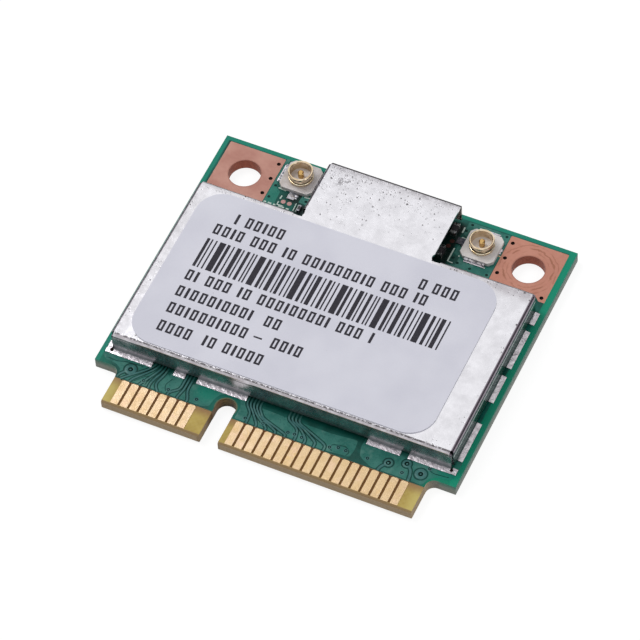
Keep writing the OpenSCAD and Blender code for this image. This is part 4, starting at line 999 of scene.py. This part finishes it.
under_pours = Form()
for left, front, right, back in [
    (-14.3, -8.2, 14.3, -4.5), (-14.3, -2.5, 14.3, 2.5), (-14.3, 4.5, 14.3, 7.7), (-9.1, 8.2, 9.1, 12.9),
    (-14.4, -9.7, -13.0, -8.5), (13.0, -9.7, 14.4, -8.5),
]:
    under_pours.plate(loop([(left, front), (right, front), (right, back), (left, back)], 0.4), POUR)
under_pours.turn_over()
under_pours.make("covered_copper_under", COVERED, "solder_mask")

under_runs = []
under_vias = []
number = 0
pads = [PAD_PITCH * step for step in range(-3, 4)]
waiting = list(pads)
for group in ("contacts_bottom_short", "contacts_bottom_long"):
    low, high = [corner.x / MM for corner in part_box(group)]
    x = low + CONTACT_HALF
    while x < high:
        near = [pad for pad in waiting if abs(pad - x) <= PITCH / 2 + 0.05]
        if near:
            turn = -8.9 + 0.1 * (number % 3)
            path = [(x, TRACK_FRONT), (x, turn), (near[0], turn + 0.7), (near[0], -PAD_EXIT)]
            waiting.remove(near[0])
        else:
            stop = -9.9 + 0.42 * (number % 3)
            path = [(x, TRACK_FRONT), (x, -10.5), (x + 0.12, -10.3), (x + 0.12, stop)]
            under_vias.append((x + 0.12, stop))
        under_runs.append(rounded(path, 0.25))
        number += 1
        x += PITCH
for step, pad in enumerate(pads):
    bend = -0.7 if step % 2 else 0.9
    path = [(pad, PAD_EXIT), (pad, 5.2), (pad + bend, 5.2 + abs(bend)), (pad + bend, 6.9)]
    under_runs.append(rounded(path, 0.3))
    under_vias.append((pad + bend, 6.9))
under_vias += [(-4.2 + across, -1.5 + along) for across in range(5) for along in range(4)]
under_vias += [(side * 13.85, -7.4 + 2.35 * step) for step in range(7) for side in (-1, 1)]
under_vias += [(-7.4, 11.9), (-5.2, 9.3), (-1.6, 12.2), (2.2, 12.2), (5.4, 9.4), (7.7, 11.7), (4.4, 1.4),
               (7.9, -1.1), (10.6, 0.6)]

under_moats = Form()
under_tracks = Form()
under_rings = Form()
under_wells = Form()
for path in under_runs:
    under_moats.ribbon(path, TRACK_W + 2 * MOAT_W, MOAT)
    under_tracks.ribbon(path, TRACK_W, OVER)
for x, y in under_vias:
    outside = [(0.27, SUNK), (0.25, OVER + 0.002)]
    under_rings.lathe(x, y, outside + [(0.14, OVER + 0.002), (0.12, OVER - 0.002)], 20)
    under_wells.lathe(x, y, [(0.15, SUNK), (0.13, OVER + 0.006), (0.06, OVER), (0.02, OVER - 0.004)], 16)
for form, name, material, smooth in (
    (under_moats, "mask_hollows_under", HOLLOW, False),
    (under_tracks, "covered_tracks_under", TRACK, False),
    (under_rings, "via_rings_under", TRACK, True),
    (under_wells, "via_wells_under", WELL, True),
):
    form.turn_over()
    form.make(name, material, "solder_mask", smooth)


# Painted shade: near-black discs down in the lands' small holes and in the solder's corner holes

pits = Form()
for side in (-1, 1):
    for x, y in [(10.0, 12.35), (10.0, 10.82), (10.0, 9.29), (14.08, 8.38)]:
        pits.lathe(side * x, y, [(0.157, -0.02), (0.1, -0.06), (0.02, -0.1)], 24)
    pits.lathe(side * 14.14, CAN_LOW.y - 0.1, [(0.14, SUNK), (0.135, 0.15), (0.11, 0.17), (0.02, 0.16)], 24)
pits.make("pit_shade", PIT_SHADE)


# Solder beside the receptacles, and a sliver of plating beside the right one

dab = Form()
dab.lathe(9.46, 11.35, [(0.17, SUNK), (0.16, 0.04), (0.1, 0.08), (0.03, 0.09)], 20)
dab.ribbon(rounded([(9.4, 11.5), (9.46, 11.2), (9.44, 10.95)], 0.1), 0.2, 0.05)
dab.lathe(6.44, 10.58, [(0.1, SUNK), (0.09, 0.04), (0.05, 0.07), (0.01, 0.075)], 16)
dab.lathe(-7.36, 9.98, [(0.2, SUNK), (0.18, 0.07), (0.11, 0.12), (0.03, 0.13)], 20)
dab.lathe(-7.34, 9.78, [(0.13, SUNK), (0.11, 0.04), (0.06, 0.07), (0.02, 0.08)], 16)
dab.make("solder_dab", SOLDER, None, True)
sliver = Form()
sliver.ribbon([(9.3, 10.74), (9.5, 10.78), (9.64, 10.76)], 0.09, 0.03)
sliver.make("plating_sliver", GOLD)


# Rolled bead at the foot of each receptacle's ring

BEAD_REACH = 0.93
BEAD_R = 0.085
BEAD_Z = 0.53
profile = []
for turn in range(-75, 166, 30):
    angle = math.radians(turn)
    profile.append((BEAD_REACH + BEAD_R * math.cos(angle), BEAD_Z + BEAD_R * math.sin(angle)))
beads = Form()
for x, y in (LEFT_AXIS, RIGHT_AXIS):
    beads.lathe(x, y, profile, 48, False)
beads.make("receptacle_beads", BEAD, "receptacle_gold", True)


# A small two-ended part in the notch left of the tab

PART_W = 0.3
PART_L = 0.6
CAP_L = 0.15


def upright_box(form, forward, width, length, height):
    """A rounded box whose centre lies forward of the part's own."""
    x, y = NOTCH_PART[0], NOTCH_PART[1] + forward
    half_w, half_l = width / 2, length / 2
    corners = [(x - half_w, y - half_l), (x + half_w, y - half_l),
               (x + half_w, y + half_l), (x - half_w, y + half_l)]
    form.plate(loop(corners, 0.04, 3), height, 0.02)


part = Form()
upright_box(part, 0.0, PART_W - 0.04, PART_L - 0.1, 0.26)
part.make("notch_part_body", MATCHING)
part_ends = Form()
for end in (-1, 1):
    upright_box(part_ends, end * (PART_L - CAP_L) / 2, PART_W, CAP_L, 0.29)
part_ends.make("notch_part_ends", DULL_TIN)


# Pale outline marks beside the receptacles

MARK = 0.012
marks = Form()
for path in [
    [(-9.03, 10.24), (-8.35, 10.19)],
    [(-8.44, 9.63), (-8.47, 9.29)],
    [(-8.45, 9.01), (-8.47, 8.71), (-7.96, 8.69)],
    [(-6.75, 10.15), (-6.31, 10.19)],
    [(6.0, 12.32), (6.01, 11.76)],
    [(6.16, 11.35), (6.64, 11.28)],
    [(6.04, 10.18), (6.03, 8.84), (6.47, 8.81)],
]:
    marks.ribbon(path, 0.11, MARK)
for start, reach in ((-9.55, 0.2), (-9.2, 0.3), (-8.75, 0.2), (-8.3, 0.5), (-7.65, 0.25)):
    marks.ribbon([(start, 8.6), (start + reach, 8.6)], 0.12, MARK)
marks.ribbon([(-7.09, 9.35), (-7.04, 8.6)], 0.07, MARK)
marks.ribbon([(-6.86, 9.3), (-6.83, 8.6)], 0.05, MARK)
for x, y in [(6.66, 9.6), (8.9, 9.29)]:
    marks.lathe(x, y, [(0.08, SUNK), (0.07, MARK), (0.01, MARK)], 14)
marks.make("outline_marks", SILK)


# Plain print on the label

INK_HIGH = 0.006
CELL_W = 0.5
CELL_L = 1.0
CELL_GAP = 0.24
STROKE = 0.17
BAR_W = 0.22
ink = Form(LABEL_TOP)


def block(x, y, width, height):
    ink.plate([(x, y), (x + width, y), (x + width, y + height), (x, y + height)], INK_HIGH)


def line(x, y, end, rhythm):
    """Plain open cells and upright bars in a steady rhythm: 0 a cell, 1 a bar, 2 a gap."""
    number = 0
    while x < end:
        kind = rhythm[number % len(rhythm)]
        if kind == 0:
            ink.frame(x, y, CELL_W, CELL_L, STROKE, INK_HIGH)
            x += CELL_W + CELL_GAP
        elif kind == 1:
            block(x, y, BAR_W, CELL_L)
            x += BAR_W + CELL_GAP
        else:
            x += CELL_W
        number += 1


line(-9.95, 4.22, -9.6, [1])
line(-9.05, 4.22, -6.3, [0, 0, 1, 0])
line(5.65, 4.1, 6.0, [0])
line(6.8, 4.1, 8.9, [0, 0, 0])
line(-11.1, 2.78, 6.6, [0, 0, 1, 0, 2, 0, 0, 0, 2, 1, 0, 2, 0, 0, 1, 0, 0])
line(-11.2, -2.0, 4.4, [0, 1, 2, 0, 0, 0, 2, 1, 0, 2, 0, 0, 0, 1, 0, 0, 0])
line(-11.2, -3.65, -4.9, [0, 1, 0, 0, 0, 1, 0, 0])
line(-3.75, -3.65, -2.6, [0, 0])
line(-11.15, -5.32, -4.9, [0, 0, 1, 0, 0, 0, 1, 0, 0])
block(-3.95, -4.9, 0.7, 0.14)
line(-2.42, -5.32, -0.1, [0, 0, 1, 0])
line(-11.1, -7.12, -8.2, [0, 0, 0, 0])
line(-7.3, -7.12, -6.4, [1, 0])
line(-5.6, -7.12, -2.4, [0, 1, 0, 0, 0])

# An even band of upright bars in the place of the code
BAR_WIDTHS = [0.24, 0.12, 0.12, 0.5, 0.24, 0.12, 0.34, 0.12]
BAR_GAPS = [0.14, 0.24, 0.24]
x = -11.18
number = 0
while x < 9.3:
    width = BAR_WIDTHS[number % len(BAR_WIDTHS)]
    block(x, -0.62, width, 2.86)
    x += width + BAR_GAPS[number % len(BAR_GAPS)]
    number += 1
ink.make("label_print", INK)


# Floor, whose glow is seen only by the camera and in mirrored and transmitted rays

FLOOR_REACH = 3.0
floor_mesh = bpy.data.meshes.new("floor")
corners = [(-FLOOR_REACH, -FLOOR_REACH, 0), (FLOOR_REACH, -FLOOR_REACH, 0),
           (FLOOR_REACH, FLOOR_REACH, 0), (-FLOOR_REACH, FLOOR_REACH, 0)]
floor_mesh.from_pydata(corners, [], [[0, 1, 2, 3]])
floor = bpy.data.objects.new("floor", floor_mesh)
floor.location.z = -0.00002
bpy.context.scene.collection.objects.link(floor)

floor_material = bpy.data.materials.new("floor")
ground = Tree(floor_material)
seen = ground.add("LightPath").outputs
directly = ground.most(seen["Is Camera Ray"], seen["Is Glossy Ray"], seen["Is Transmission Ray"])
matt = ground.feed(ground.add("BsdfDiffuse"), {"Color": (0.2, 0.2, 0.2, 1.0)})
glow = ground.feed(ground.add("Emission"), {"Strength": ground.times(directly, 0.86)})
both = ground.feed(ground.add("AddShader"), {0: matt.outputs[0], 1: glow.outputs[0]})
ground.feed(ground.add("OutputMaterial"), {"Surface": both.outputs[0]})
floor_mesh.materials.append(floor_material)


# A pale room with soft boxes overhead and in front, and darker walls

world = bpy.data.worlds.new("studio")
bpy.context.scene.world = world
room = Tree(world)
seen = room.add("LightPath").outputs
axes = room.feed(room.add("SeparateXYZ"), {0: room.add("TexCoord").outputs["Generated"]})
right, back, up = axes.outputs
overhead = room.rise(room.less(up, room.times(right, 0.55)), 0.4, 0.72)
overhead = room.least(overhead, room.rise(up, 0.2, 0.5))
front = room.times(room.fall(back, -0.75, -0.45), room.fall(up, 0.75, 0.9))
below = room.fall(up, -0.06, -0.02)
mirrored = room.smooth(room.most(overhead, front, below), 0.0, 1.0, 0.16, 1.0)
directly = room.most(seen["Is Camera Ray"], seen["Is Transmission Ray"])
level = room.add("Mix")
level.data_type = "FLOAT"
room.feed(level, {0: seen["Is Glossy Ray"], 2: 0.52, 3: mirrored})
sky = room.feed(room.add("Background"), {"Color": (1.0, 1.0, 1.0, 1.0)})
room.feed(sky, {"Strength": room.most(level.outputs[0], directly)})
room.feed(room.add("OutputWorld"), {"Surface": sky.outputs[0]})


# Lamps

def lamp(name, place, size, power):
    """A square lamp aimed at the middle of the card."""
    data = bpy.data.lights.new(name, "AREA")
    data.shape = "SQUARE"
    data.size = size
    data.energy = power
    light = bpy.data.objects.new(name, data)
    light.location = place
    turn = math.atan2(place[1], place[0]) + math.pi / 2
    tilt = math.acos(place[2] / math.sqrt(sum(reach * reach for reach in place)))
    light.rotation_euler = (tilt, 0.0, turn)
    bpy.context.scene.collection.objects.link(light)


lamp("key_lamp", (-0.35, 0.1, 0.5), 0.3, 1.5)
lamp("fill_lamp", (0.4, -0.1, 0.45), 0.3, 0.5)

bpy.context.scene.view_settings.view_transform = "Standard"
